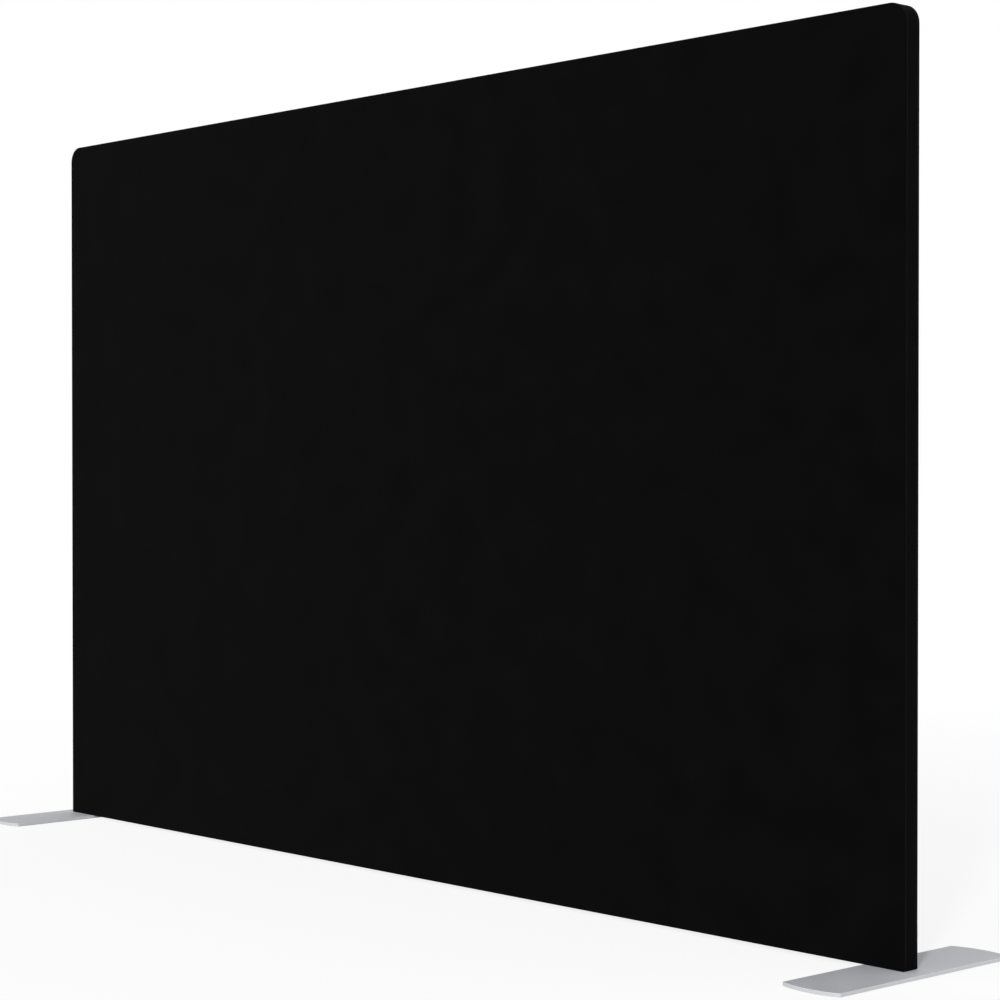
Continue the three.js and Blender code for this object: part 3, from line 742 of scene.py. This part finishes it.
def puckered(x, away, cover):
    """How deep the zip seam's puckers are: they vary along the seam and die out away from it."""
    quick_share, steady_share = 0.6, 0.6
    drift = math.sin(x / cover.drift) + quick_share * math.sin(x / cover.quick_drift)
    wave = math.cos(math.tau * x / cover.pucker_pitch + drift)
    height = cover.pucker * (steady_share + (1 - steady_share) * drift / (1 + quick_share))
    return height * (1 + wave) / 2 * math.exp(-abs(away) / cover.pucker_reach)


def panel_rows(bottom, face_y, sign, cover, seam_z):
    """Points of the front or back sheet's outer face. Sign is the side that it faces along Y."""
    rows = []
    bay_bottom = max(RAIL_HIGH.z, bottom)
    for up in spaced(COVER_TOP - bottom, CORNER_RADIUS, cover.row_step):
        row = []
        for across in spaced(2 * HALF_WIDTH, CORNER_RADIUS, cover.mesh_step):
            x, z = round_corner(across - HALF_WIDTH, bottom + up)
            depth = drawn_in(x, z, bay_bottom, cover)
            if seam_z is not None:
                depth += puckered(x, z - seam_z, cover)
            row.append((Vector((x, face_y - sign * depth, z)), x, z))
        rows.append(row)
    return rows


def band_path(step):
    """(point, outward, distance) up the left end, over the top and down the right end."""
    centre_x = HALF_WIDTH - CORNER_RADIUS
    centre_z = COVER_TOP - CORNER_RADIUS
    side_count = round((centre_z - COVER_BOTTOM) / step)
    top_count = round(2 * centre_x / step)
    corner_count = 14
    found = []
    for i in range(side_count):
        height = COVER_BOTTOM + (centre_z - COVER_BOTTOM) * i / side_count
        found.append((Vector((-HALF_WIDTH, 0, height)), -ALONG_X))
    corner = arc((-centre_x, centre_z), CORNER_RADIUS, math.pi, math.pi / 2, corner_count)
    for x, z in corner:
        out = Vector((x + centre_x, 0, z - centre_z)).normalized()
        found.append((Vector((x, 0, z)), out))
    for i in range(1, top_count):
        found.append((Vector((-centre_x + 2 * centre_x * i / top_count, 0, COVER_TOP)), ALONG_Z))
    mirrored = [(Vector((-p.x, 0, p.z)), Vector((-o.x, 0, o.z))) for p, o in reversed(found)]
    found += [pair for pair in mirrored if pair[0].x > centre_x - MM]
    path, run = [], 0
    for i, (point, outward) in enumerate(found):
        run += (point - found[i - 1][0]).length if i else 0
        path.append((point, outward, run))
    return path


def band_rows(path):
    """The edge strip's outer face, across its width at each point of the path."""
    half = BAND_HALF + SEAT_GAP
    across = [half * (j / 4 - 1) for j in range(9)]
    return [[(point + ALONG_Y * y, y, run) for y in across] for point, _, run in path]


def hem_rows(cover):
    """Rows along the hem's outer face: under the frame from front to back, then up to the zip. Also
    their places across, and how many rows the notches at the corners take."""
    bend = cover.hem_bend
    low, back = HEM_LOW.z, HEM_HIGH.y
    bend_share, rise_shares = 0.6, (0.2, 0.4, 0.6, 0.8, 0.92, 1)
    under = [(HEM_LOW.y - SEAT_GAP, low), (0, low), (back * bend_share, low)]
    turn = arc((back - bend, low + bend), bend, -math.pi / 2, 0, 5)
    rise = [(back, low + (HEM_HIGH.z - low) * share) for share in rise_shares]
    line = under + turn + rise
    xs = [-HALF_WIDTH + d for d in spaced(2 * HALF_WIDTH, CORNER_RADIUS, cover.mesh_step)]
    xs = sorted([x for x in xs if abs(abs(x) - HEM_NOTCH) > 2 * MM] + [-HEM_NOTCH, HEM_NOTCH])
    rows, run = [], 0
    for i, (y, z) in enumerate(line):
        run += math.dist((y, z), line[i - 1]) if i else 0
        row = []
        for x in xs:
            depth = puckered(x, HEM_HIGH.z - z, cover) if (y, z) in rise else 0
            row.append((Vector((x, y - depth, z)), x, run))
        rows.append(row)
    return rows, xs, len(under) + len(turn) // 2 + 1


class DISPLAY_OT_cover(bpy.types.Operator):
    """Makes the cover's two sheets, its edge band and its hem"""

    bl_idname = "display.cover"
    bl_label = "Stretched cover"

    def execute(self, context):
        cover = context.scene.display_cover
        knit = stretch_knit(cover)
        tubes = ["upright_lower_left", "upright_lower_right", "upright_upper_left"]
        tubes += ["upright_upper_right", "top_rail_left", "top_rail_right"]

        def stretched(name, rows, outward, nodes, keep=None):
            """A sheet of the cover in the knit, riding the frame in place of its CAD nodes."""
            made = cloth_piece(name, rows, outward, cover.edge_roll, keep)
            dress(made, knit, "frame", nodes)

        rows = panel_rows(COVER_BOTTOM, FRONT_LOW.y, -1, cover, None)
        stretched("cover_front", rows, -ALONG_Y, ["fabric_front"])

        rows = panel_rows(REAR_LOW.z, REAR_HIGH.y, 1, cover, UPPER_HIGH.z)
        stretched("cover_back", rows, ALONG_Y, ["fabric_back"])

        path = band_path(cover.mesh_step)
        ends = ["fabric_top", "fabric_end_left", "fabric_end_right"]
        stretched("cover_edge_band", band_rows(path), -ALONG_X, ends)

        rows, xs, notch_rows = hem_rows(cover)

        def keep(i, j):
            """Leaves the hem's underside off below the corner connectors."""
            return i >= notch_rows or abs(xs[j] + xs[j + 1]) / 2 < HEM_NOTCH

        stretched("cover_hem", rows, -ALONG_Z, ["fabric_hem"], keep)
        return {"FINISHED"}


class DISPLAY_OT_stitches(bpy.types.Operator):
    """Sews the rows of stitches on the edge band, along the zip and on the hem"""

    bl_idname = "display.stitches"
    bl_label = "Stitching"

    def execute(self, context):
        scene = context.scene
        stitch = scene.display_stitch
        half = BAND_HALF - stitch.inset
        path = band_path(scene.display_cover.mesh_step)
        path = [(point, out) for point, out, _ in path if point.z > COVER_BOTTOM + MM]
        band = [[(point + ALONG_Y * (side * half), out) for point, out in path] for side in (-1, 1)]
        stitch_rows("band_stitches", band, scene)
        ends = [-HALF_WIDTH + 2 * MM, HALF_WIDTH - 2 * MM]
        inset = stitch.seam_inset
        lines = (UPPER_HIGH.z - inset, REAR_LOW.z + inset, LOWER_LOW.z + inset, HEM_HIGH.z - inset)
        zips = [[(Vector((x, TAPE_FACE, z)), ALONG_Y) for x in ends] for z in lines]
        stitch_rows("zip_stitches", zips, scene)
        end = HEM_NOTCH - stitch.inset
        height = COVER_BOTTOM + stitch.sink
        hems = [
            [(Vector((x, side * half, height)), -ALONG_Z) for x in (-end, end)] for side in (-1, 1)
        ]
        stitch_rows("hem_stitches", hems, scene)
        return {"FINISHED"}


# Zip


def tape_rows(side, sewn_z, zips):
    """A tape's outer face from its toothed edge to its sewn edge, with a corded bead at the first.
    From its end stops outwards a tape's toothed edge meets the other tape's."""
    meeting = SLIDER_REACH + zips.stop_width / 2
    xs = [-HALF_WIDTH, -meeting, -SLIDER_REACH, 0, SLIDER_REACH, meeting, HALF_WIDTH]
    toothed_z = ZIP_Z + side * zips.slit
    profile = [(0, 0), (0.03, 0.6), (0.07, 1), (0.12, 1), (0.17, 0.6), (0.22, 0), (0.6, 0), (1, 0)]
    rows = []
    for share, rise in profile:
        z = toothed_z + share * (sewn_z - toothed_z)
        y = TAPE_FACE + rise * zips.bead
        rows.append([(Vector((x, y, z)), x, abs(z - toothed_z)) for x in xs])
    closed = zips.slit / 10
    for point, _, _ in rows[0]:
        if abs(point.x) > SLIDER_REACH + MM:
            point.z = ZIP_Z + side * closed
    return rows


def tooth_piece(zips):
    """One tooth, lying across the zip along Y: a foot on the tape's bead, a neck and a round head."""
    wide, reach = zips.tooth_width / 2, zips.tooth_reach / 2
    shares = [(-1, 0.8), (-0.45, 1), (0.1, 0.7), (0.35, 0.66), (0.7, 0.92), (1, 0.5)]
    right = [(wide * x, reach * y) for y, x in shares]
    outline = right + [(-x, y) for x, y in reversed(right)]
    turn = Matrix.Translation((0, 0, zips.tooth_rise / 2))
    return plate("tooth", [outline], zips.tooth_rise, zips.tooth_edge, turn, 0)


def tooth_lines(side, zips):
    """The lines that a tape's teeth stand on, between the two stops and past each. The teeth of the
    two tapes are half a pitch apart, so that they interlock."""
    far = HALF_WIDTH - zips.tooth_inset
    stop = SLIDER_REACH + zips.stop_width
    y = TAPE_FACE + zips.tooth_lift
    z = ZIP_Z + side * (zips.slit + zips.tooth_reach / 2)
    lines = []
    for start, end in ((-far, -stop), (-SLIDER_REACH, SLIDER_REACH), (stop, far)):
        first, last = start + zips.tooth_width, end - zips.tooth_width
        if side > 0:
            first, last = last - zips.tooth_pitch / 2, first
        else:
            first += zips.tooth_pitch / 2
        lines.append([(Vector((x, y, z)), ALONG_Y) for x in (first, last)])
    return lines


def stop_piece(side, zips):
    """An end stop: a block moulded over both tapes where the slider's travel ends."""
    place = (side * (SLIDER_REACH + zips.stop_width / 2), 0)
    across = 2 * zips.tooth_reach + 3 * zips.slit
    block = rounded_box(zips.stop_width, across, zips.stop_radius, place)
    turn = Matrix.Translation((0, 0, ZIP_Z)) @ upright_turn(TAPE_FACE + zips.stop_lift)
    return plate("stop", [block], CLOTH + zips.tooth_rise, zips.stop_edge, turn)


class DISPLAY_OT_zip_tapes(bpy.types.Operator):
    """Makes the two woven zip tapes and their rows of moulded teeth"""

    bl_idname = "display.zip_tapes"
    bl_label = "Zip tapes and teeth"

    def execute(self, context):
        zips = context.scene.display_zip
        weave = zip_tape_twill(zips)
        acetal = moulded_acetal(zips)
        tooth = tooth_piece(zips)
        for name, side, sewn_z in (("upper", 1, REAR_LOW.z), ("lower", -1, HEM_HIGH.z)):
            rows = tape_rows(side, sewn_z, zips)
            tape = cloth_piece(f"zip_tape_{name}_woven", rows, ALONG_Y, zips.tape_edge)
            dress(tape, weave, "frame", [f"zip_tape_{name}"])
            lines = tooth_lines(side, zips)
            teeth = row_of(f"zip_teeth_{name}", lines, tooth, zips.tooth_pitch, acetal)
            dress(teeth, None, "frame")
        bpy.data.objects.remove(tooth)
        stops = joined("zip_end_stops", [stop_piece(side, zips) for side in SIDES.values()])
        smooth(stops)
        dress(stops, acetal, "frame")
        return {"FINISHED"}


def slider_outline(long, high, steps=48, power=0.55, taper_share=0.1):
    """A slider plate: a rounded shield, lower at the end where the tapes are joined. A power of 1
    gives an ellipse, and a lower one squarer corners."""
    points = []
    for i in range(steps):
        a = math.tau * i / steps
        x = math.copysign(abs(math.cos(a)) ** power, math.cos(a))
        z = math.copysign(abs(math.sin(a)) ** power, math.sin(a))
        z *= 1 - taper_share + taper_share * x
        points.append((x * long / 2, z * high / 2))
    return points


def bridge_outline(zips, base, top):
    """The arch that the pull hangs on, seen from above."""
    half, radius = zips.bridge / 2, zips.bridge_radius
    outer = [(half, base), (half, top - radius)]
    outer += arc((half - radius, top - radius), radius, 0, math.pi / 2, 6)
    inner = [(half - zips.bridge_wall, base), (half - zips.bridge_wall, top - zips.bridge_wall)]
    left = [(-x, y) for x, y in outer[::-1] + inner]
    return outer + left + inner[::-1]


def slider_cast(zips, low, high, outer_face):
    """Two plates, one on each side of the tapes, the web between them, and the bridge."""
    at = Matrix.Translation(((low.x + high.x) / 2, 0, ZIP_Z))
    inner_y = low.y + zips.wall / 2
    outer_y = outer_face - zips.wall / 2
    shield = slider_outline(high.x - low.x, high.z - low.z)
    web = slider_outline(zips.web_length, zips.web_width)
    inner_edge, outer_edge, web_edge, bridge_edge = 0.35 * MM, 0.45 * MM, 0.05 * MM, 0.3 * MM
    root = 0.4 * MM
    parts = {
        "slider_inner": (shield, inner_y, zips.wall, inner_edge),
        "slider_outer": (shield, outer_y, zips.wall, outer_edge),
        "slider_web": (web, (inner_y + outer_y) / 2, outer_y - inner_y, web_edge),
    }
    cast = [
        plate(name, [outline], thickness, edge, at @ upright_turn(y))
        for name, (outline, y, thickness, edge) in parts.items()
    ]
    arch = bridge_outline(zips, outer_face - root, high.y)
    cast.append(plate("slider_bridge", [arch], zips.bridge_width, bridge_edge, at))
    return joined("zip_slider_cast", cast)


def pull_tab(zips, low, high, slider_x):
    """A flat tab with a window round the bridge, and a slot to grip it by."""
    middle = ((low.x + high.x) / 2, 0)
    tab = rounded_box(high.x - low.x, high.z - low.z, zips.tab_radius, middle)
    hinge = high.x - (high.y - low.y)
    far_end = slider_x - zips.window_reach
    middle = ((hinge + far_end) / 2, 0)
    window = rounded_box(hinge - far_end, zips.window_width, zips.window_radius, middle)
    middle = (low.x + zips.grip_place, 0)
    least_flat = 0.05 * MM
    round_end = zips.grip_width / 2 - least_flat
    grip = rounded_box(zips.grip_length, zips.grip_width, round_end, middle)
    at = Matrix.Translation((0, 0, ZIP_Z)) @ upright_turn((low.y + high.y) / 2)
    return plate("zip_pull_tab", [tab, window, grip], high.y - low.y, zips.tab_edge, at)


class DISPLAY_OT_zip_slider(bpy.types.Operator):
    """Makes the slider with its bridge, and the pull that hangs on it"""

    bl_idname = "display.zip_slider"
    bl_label = "Zip slider and pull"

    def execute(self, context):
        zips = context.scene.display_zip
        zinc = lacquered_zinc(zips)
        low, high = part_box("zip_slider")
        pull_low, pull_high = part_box("zip_pull")
        slider = slider_cast(zips, low, high, pull_low.y - zips.pull_gap)
        smooth(slider)
        dress(slider, zinc, "slider", ["zip_slider"])
        pull = pull_tab(zips, pull_low, pull_high, (low.x + high.x) / 2)
        smooth(pull)
        dress(pull, zinc, "pull", ["zip_pull"])
        return {"FINISHED"}


# Feet


def foot_outline(half_width, half_length, rise, corner):
    """A plate with straight sides and shallow arcs for ends, its corners rounded off."""
    radius = (half_width**2 + rise**2) / (2 * rise)
    centre = half_length - radius
    corner_x = half_width - corner
    corner_y = centre + math.sqrt((radius - corner) ** 2 - corner_x**2)
    turn = math.atan2(corner_y - centre, corner_x)
    upper = arc((corner_x, corner_y), corner, 0, turn, 6)
    upper += arc((0, centre), radius, turn, math.pi - turn, 28)[1:-1]
    upper += arc((-corner_x, corner_y), corner, math.pi - turn, math.pi, 6)
    return upper + [(-x, -y) for x, y in upper]


def foot_sheet(name, cad_node, feet, edge, holes=()):
    """A flat piece in the foot's outline, to the size of its CAD node."""
    low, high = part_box(cad_node)
    half = (high - low) / 2
    outline = foot_outline(half.x, half.y, feet.end_rise, feet.corner_radius)
    at = Matrix.Translation((low + high) / 2)
    return plate(name, [outline, *holes], high.z - low.z, edge, at)


def mark_edges(made):
    """Writes where the coat is rubbed: 1 on the rounded edges, 0 on the flats."""
    mesh = made.data
    upright, level = 0.15, 0.98
    wear = [1.0 if upright < abs(face.normal.z) < level else 0.0 for face in mesh.polygons]
    mesh.attributes.new("edge_wear", "FLOAT", "FACE").data.foreach_set("value", wear)


def cut_away(made, cutter):
    modify(made, "BOOLEAN", object=cutter, operation="DIFFERENCE", solver="EXACT")
    plain(made)
    bpy.data.objects.remove(cutter)


def bolt_place(name):
    """Low and high corners of a foot's bolt, and its axis as a place."""
    low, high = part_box(f"foot_bolt_{name}")
    return low, high, Matrix.Translation(((low.x + high.x) / 2, 0, 0))


def bolt_hole(name, feet):
    """The countersunk bolt's shape, grown by its gap and open below, to cut the plate's hole."""
    low, high, axis = bolt_place(name)
    head = (high.x - low.x) / 2 + feet.bolt_gap
    shank = feet.shank_radius + feet.bolt_gap
    below = low.z - 3 * MM
    profile = [(0, below), (head, below), (head, low.z + feet.bolt_gap)]
    profile += [(shank, low.z + feet.head_depth), (shank, high.z), (0, high.z)]
    return turned("bolt_hole", profile, axis, 64)


class DISPLAY_OT_feet(bpy.types.Operator):
    """Makes the two foot plates and the rubber sheets under them"""

    bl_idname = "display.feet"
    bl_label = "Feet"

    def execute(self, context):
        feet = context.scene.display_feet
        coat, rubber = silver_powder_coat(feet), pad_rubber(feet)
        bolt_room, pad_edge = 2 * MM, 0.2 * MM
        for name in SIDES:
            body, cad_plate, cad_pad = f"foot_{name}", f"foot_plate_{name}", f"foot_pad_{name}"
            steel = foot_sheet(f"foot_{name}_steel", cad_plate, feet, feet.edge_radius)
            cut_away(steel, bolt_hole(name, feet))
            mark_edges(steel)
            smooth(steel, 30)
            dress(steel, coat, body, [cad_plate])

            low, high, axis = bolt_place(name)
            pad_low, pad_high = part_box(cad_pad)
            hole_x = axis.translation.x - (pad_low.x + pad_high.x) / 2
            hole = arc((hole_x, 0), (high.x - low.x) / 2 + bolt_room, 0, math.tau, 48)[:-1]
            pad = foot_sheet(f"foot_{name}_rubber", cad_pad, feet, pad_edge, [hole])
            smooth(pad)
            dress(pad, rubber, body, [cad_pad])
        return {"FINISHED"}


def threaded_bolt(name, feet):
    """A countersunk bolt with its thread as rings and a hex socket in its head."""
    low, high, axis = bolt_place(name)
    head, crest = (high.x - low.x) / 2, feet.shank_radius
    root, neck = crest - feet.thread_depth, low.z + feet.head_depth
    chamfer = 0.3 * MM
    profile = [(0, low.z), (head - chamfer, low.z), (head, low.z + chamfer), (crest, neck)]
    for i in range(int((high.z - neck) / feet.thread_pitch) - 1):
        z = neck + (i + 0.5) * feet.thread_pitch
        profile += [(root, z), (crest, z + feet.thread_pitch / 2)]
    taper_height, tip = 0.8 * MM, root - 0.6 * MM
    profile += [(root, high.z - taper_height), (tip, high.z), (0, high.z)]
    bolt = turned(f"foot_{name}_bolt", profile, axis, 48)
    across, floor = feet.socket_width / math.sqrt(3), low.z + feet.socket_depth
    socket = [(0, low.z - MM), (across, low.z - MM), (across, floor), (0, floor)]
    cut_away(bolt, turned("socket", socket, axis, 6))
    return bolt


def knurled_insert(name, feet):
    """A brass sleeve with a knurled outside."""
    low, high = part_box(f"foot_insert_{name}")
    outer, ridge, count, edge = (high.x - low.x) / 2, 0.35 * MM, 60, 0.1 * MM
    knurl = []
    for i in range(count):
        radius, a = outer - ridge * (i % 2), math.tau * i / count
        knurl.append((radius * math.cos(a), radius * math.sin(a)))
    bore = arc((0, 0), feet.shank_radius + feet.bolt_gap, 0, math.tau, 48)[:-1]
    at = Matrix.Translation((low + high) / 2)
    return plate(f"foot_{name}_insert", [knurl, bore], high.z - low.z, edge, at)


class DISPLAY_OT_foot_bolts(bpy.types.Operator):
    """Makes the countersunk bolts under the feet and the knurled inserts that they screw into"""

    bl_idname = "display.foot_bolts"
    bl_label = "Foot bolts and inserts"

    def execute(self, context):
        feet, parts = context.scene.display_feet, context.scene.display_frame
        zinc = metal("zinc plated steel", feet.zinc, 0.34, (1, 1, 1), 1.5 * MM, 0.02 * MM)
        brass = metal("turned brass", parts.brass, 0.3, (1, 1, 0.02), 0.6 * MM, 0.02 * MM)
        for name in SIDES:
            bolt = threaded_bolt(name, feet)
            smooth(bolt, 30)
            dress(bolt, zinc, "frame", [f"foot_bolt_{name}"])
            insert = knurled_insert(name, feet)
            smooth(insert, 25)
            dress(insert, brass, "frame", [f"foot_insert_{name}"])
        return {"FINISHED"}


# Tube frame

PIN_HOLE_RADIUS = 4.42 * MM
PIN_HOLE_DEPTH = 9 * MM


def pins():
    """Each snap button's name, joint and outward direction."""
    joints = [joint for joint in frame["joints"] if joint["name"].startswith("press_")]
    return [(joint["name"].removeprefix("press_"), joint, -Vector(joint["axis"])) for joint in joints]


def facing(place, out):
    """Takes an upright shape to a place, with its top turned outwards."""
    return Matrix.Translation(place) @ out.to_track_quat("Z", "Y").to_matrix().to_4x4()


def pin_holes(cad_node):
    """One cutter for all of the pin holes in a node, or None where it has none."""
    low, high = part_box(cad_node)
    cutters = []
    for pin, _, out in pins():
        pin_low, pin_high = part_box("button_" + pin)
        at = (pin_low + pin_high) / 2
        if all(low[i] < at[i] < high[i] for i in range(3)):
            rim = [(PIN_HOLE_RADIUS, 0), (PIN_HOLE_RADIUS, PIN_HOLE_DEPTH)]
            profile = [(0, 0), *rim, (0, PIN_HOLE_DEPTH)]
            cutters.append(turned("pin_cutter", profile, facing(at, out)))
    return joined("pin_cutters", cutters) if cutters else None


def softened(name, cad_node, width, holes=None):
    """A CAD node's shape as one clean mesh, its holes cut round and its edges softened."""
    bm = bmesh.new()
    bm.from_mesh(frame["nodes"][cad_node].data)
    made = mesh_object(name, bm)
    if holes:
        cut_away(made, holes)
    modify(made, "DECIMATE", decimate_type="DISSOLVE", angle_limit=math.radians(1))
    modify(made, "BEVEL", width=width, segments=2, limit_method="ANGLE", angle_limit=math.radians(50))
    plain(made)
    smooth(made, 40)
    return made


def snap_pin(name, out, parts):
    """A round pin with a domed end, on a flange that keeps it in the tube."""
    low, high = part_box("button_" + name)
    long = abs((high - low).dot(out))
    flange, rim, radius, chamfer = parts.flange_radius, parts.flange, parts.pin_radius, 0.2 * MM
    profile = [(0, 0), (flange - chamfer, 0), (flange, chamfer), (flange, rim - chamfer)]
    profile += [(flange - chamfer, rim), (radius, rim)]
    for i in range(8):
        a = math.pi / 2 * i / 8
        profile.append((radius * math.cos(a), long - parts.dome + parts.dome * math.sin(a)))
    profile.append((0, long))
    place = (low + high) / 2 - out * (long / 2)
    return turned(f"snap_{name}_pin", profile, facing(place, out), 32)


class DISPLAY_OT_tube_frame(bpy.types.Operator):
    """Finishes the tubes, joiners and moulded connectors"""

    bl_idname = "display.tube_frame"
    bl_label = "Tube frame"

    def execute(self, context):
        parts = context.scene.display_frame
        upright, level = anodised(parts, "Z"), anodised(parts, "X")
        nylon = moulded_nylon(parts)
        for cad_node in frame["nodes"]:
            if cad_node.startswith(("button_", "spring_", "foot_", "fabric_", "zip_")):
                continue
            moulded = "corner" in cad_node or "tee" in cad_node
            material = nylon if moulded else level if "rail" in cad_node else upright
            made = softened(cad_node + "_finished", cad_node, parts.edge, pin_holes(cad_node))
            dress(made, material, "frame", [cad_node])
        return {"FINISHED"}


class DISPLAY_OT_snap_buttons(bpy.types.Operator):
    """Makes the snap buttons' pins and leaf springs"""

    bl_idname = "display.snap_buttons"
    bl_label = "Snap buttons"

    def execute(self, context):
        parts = context.scene.display_frame
        nickel = metal("nickel plated steel", parts.nickel, 0.2, (1, 1, 1), 1 * MM, 0.01 * MM)
        steel = metal("tempered spring steel", parts.spring, 0.32, (1, 1, 0.05), 0.5 * MM, 0.01 * MM)
        for name, joint, out in pins():
            pin = snap_pin(name, out, parts)
            smooth(pin, 30)
            dress(pin, nickel, joint["child"], ["button_" + name])
            leaf = softened(f"snap_{name}_leaf", "spring_" + name, parts.leaf_edge)
            dress(leaf, steel, "frame", ["spring_" + name])
            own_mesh(leaf)
        return {"FINISHED"}


# Stage

FOCAL_PIXELS = 2438.6
IMAGE_PIXELS = 1000
CAMERA_PLACE = Vector((3.6154, -3.0514, 0.8007))
CAMERA_YAW = math.radians(47.87)
CAMERA_PITCH = math.radians(0.769)
VIEW_REACH = 200
FLOOR_REACH = 60


def photo_camera():
    """The photograph's viewpoint: right of the front, a little above the middle of the panel."""
    camera = bpy.data.objects.new("camera", bpy.data.cameras.new("camera"))
    bpy.context.scene.collection.objects.link(camera)
    level = math.cos(CAMERA_PITCH)
    forward = Vector((-math.sin(CAMERA_YAW), math.cos(CAMERA_YAW), 0)) * level
    forward.z = -math.sin(CAMERA_PITCH)
    camera.location = CAMERA_PLACE
    camera.rotation_euler = forward.to_track_quat("-Z", "Y").to_euler()
    camera.data.lens = camera.data.sensor_width * FOCAL_PIXELS / IMAGE_PIXELS
    camera.data.clip_end = VIEW_REACH
    bpy.context.scene.camera = camera


def seen(tree):
    """1 for rays that show the background itself: camera, mirror and glass rays."""
    path = node(tree, "ShaderNodeLightPath").outputs
    shown = path["Is Camera Ray"]
    for other in ("Is Glossy Ray", "Is Transmission Ray"):
        either = {0: shown, 1: path[other]}
        shown = node(tree, "ShaderNodeMath", either, operation="MAXIMUM").outputs[0]
    return shown


def white_sky(strength):
    world = bpy.data.worlds.new("white sky")
    bpy.context.scene.world = world
    world.use_nodes = True
    tree = world.node_tree
    tree.nodes.clear()
    level = node(tree, "ShaderNodeMapRange", {"Value": seen(tree), "To Min": strength})
    inputs = {"Color": (1, 1, 1, 1), "Strength": level.outputs["Result"]}
    sky = node(tree, "ShaderNodeBackground", inputs)
    node(tree, "ShaderNodeOutputWorld", {"Surface": sky.outputs[0]})


def pale_floor(stage):
    """Matt white floor that keeps the shadow near the display and fades to white further out."""
    bm = bmesh.new()
    bmesh.ops.create_grid(bm, x_segments=1, y_segments=1, size=FLOOR_REACH)
    floor = mesh_object("floor", bm)
    material, tree = new_material("white floor")
    where = node(tree, "ShaderNodeTexCoord").outputs["Object"]
    out = node(tree, "ShaderNodeVectorMath", {0: where}, operation="LENGTH").outputs["Value"]
    fade = {"Value": out, "From Min": stage.floor_near, "From Max": stage.floor_far}
    fade["To Min"] = stage.floor_white_share
    whiter = {0: seen(tree), 1: node(tree, "ShaderNodeMapRange", fade).outputs["Result"]}
    fac = node(tree, "ShaderNodeMath", whiter, operation="MULTIPLY").outputs[0]
    matt = node(tree, "ShaderNodeBsdfDiffuse", {"Color": shade((1, 1, 1), 0.9)})
    white = node(tree, "ShaderNodeEmission", {"Color": (1, 1, 1, 1), "Strength": 1})
    mixed = node(tree, "ShaderNodeMixShader", {0: fac, 1: matt.outputs[0], 2: white.outputs[0]})
    node(tree, "ShaderNodeOutputMaterial", {"Surface": mixed.outputs[0]})
    painted(floor, material)


class DISPLAY_OT_stage(bpy.types.Operator):
    """Sets the camera, the soft light and the white floor"""

    bl_idname = "display.stage"
    bl_label = "Camera, light and floor"

    def execute(self, context):
        stage = context.scene.display_stage
        photo_camera()
        white_sky(stage.sky_strength)
        pale_floor(stage)
        lamp = bpy.data.lights.new("key", "SUN")
        lamp.energy = stage.key_strength
        lamp.angle = stage.key_softness
        key = bpy.data.objects.new("key", lamp)
        context.scene.collection.objects.link(key)
        level = math.cos(stage.key_elevation)
        towards = Vector((math.sin(stage.key_azimuth) * level, -math.cos(stage.key_azimuth) * level,
                          math.sin(stage.key_elevation)))
        key.rotation_euler = towards.to_track_quat("Z", "Y").to_euler()
        context.scene.view_settings.view_transform = "Standard"
        return {"FINISHED"}


# Panel and registration

OPERATORS = (
    DISPLAY_OT_stage,
    DISPLAY_OT_cover,
    DISPLAY_OT_stitches,
    DISPLAY_OT_zip_tapes,
    DISPLAY_OT_zip_slider,
    DISPLAY_OT_feet,
    DISPLAY_OT_foot_bolts,
    DISPLAY_OT_tube_frame,
    DISPLAY_OT_snap_buttons,
)

SETTINGS = {
    "display_cover": CoverSettings,
    "display_stitch": StitchSettings,
    "display_zip": ZipSettings,
    "display_feet": FootSettings,
    "display_frame": FrameSettings,
    "display_stage": StageSettings,
}


class DISPLAY_PT_panel(bpy.types.Panel):
    """Lists the steps that dress the display, with their settings"""

    bl_label = "Fabric display"
    bl_idname = "DISPLAY_PT_panel"
    bl_space_type = "VIEW_3D"
    bl_region_type = "UI"
    bl_category = "Display"

    def draw(self, context):
        for name, group in SETTINGS.items():
            box = self.layout.box()
            settings = getattr(context.scene, name)
            for key in group.__annotations__:
                box.prop(settings, key)
        for operator in OPERATORS:
            self.layout.operator(operator.bl_idname)


def register():
    for group in SETTINGS.values():
        bpy.utils.register_class(group)
    for name, group in SETTINGS.items():
        setattr(bpy.types.Scene, name, bpy.props.PointerProperty(type=group))
    for operator in OPERATORS:
        bpy.utils.register_class(operator)
    bpy.utils.register_class(DISPLAY_PT_panel)


def unregister():
    bpy.utils.unregister_class(DISPLAY_PT_panel)
    for operator in reversed(OPERATORS):
        bpy.utils.unregister_class(operator)
    for name, group in SETTINGS.items():
        delattr(bpy.types.Scene, name)
        bpy.utils.unregister_class(group)


def main():
    register()
    for operator in OPERATORS:
        group, action = operator.bl_idname.split(".")
        getattr(getattr(bpy.ops, group), action)()


if __name__ == "__main__":
    main()
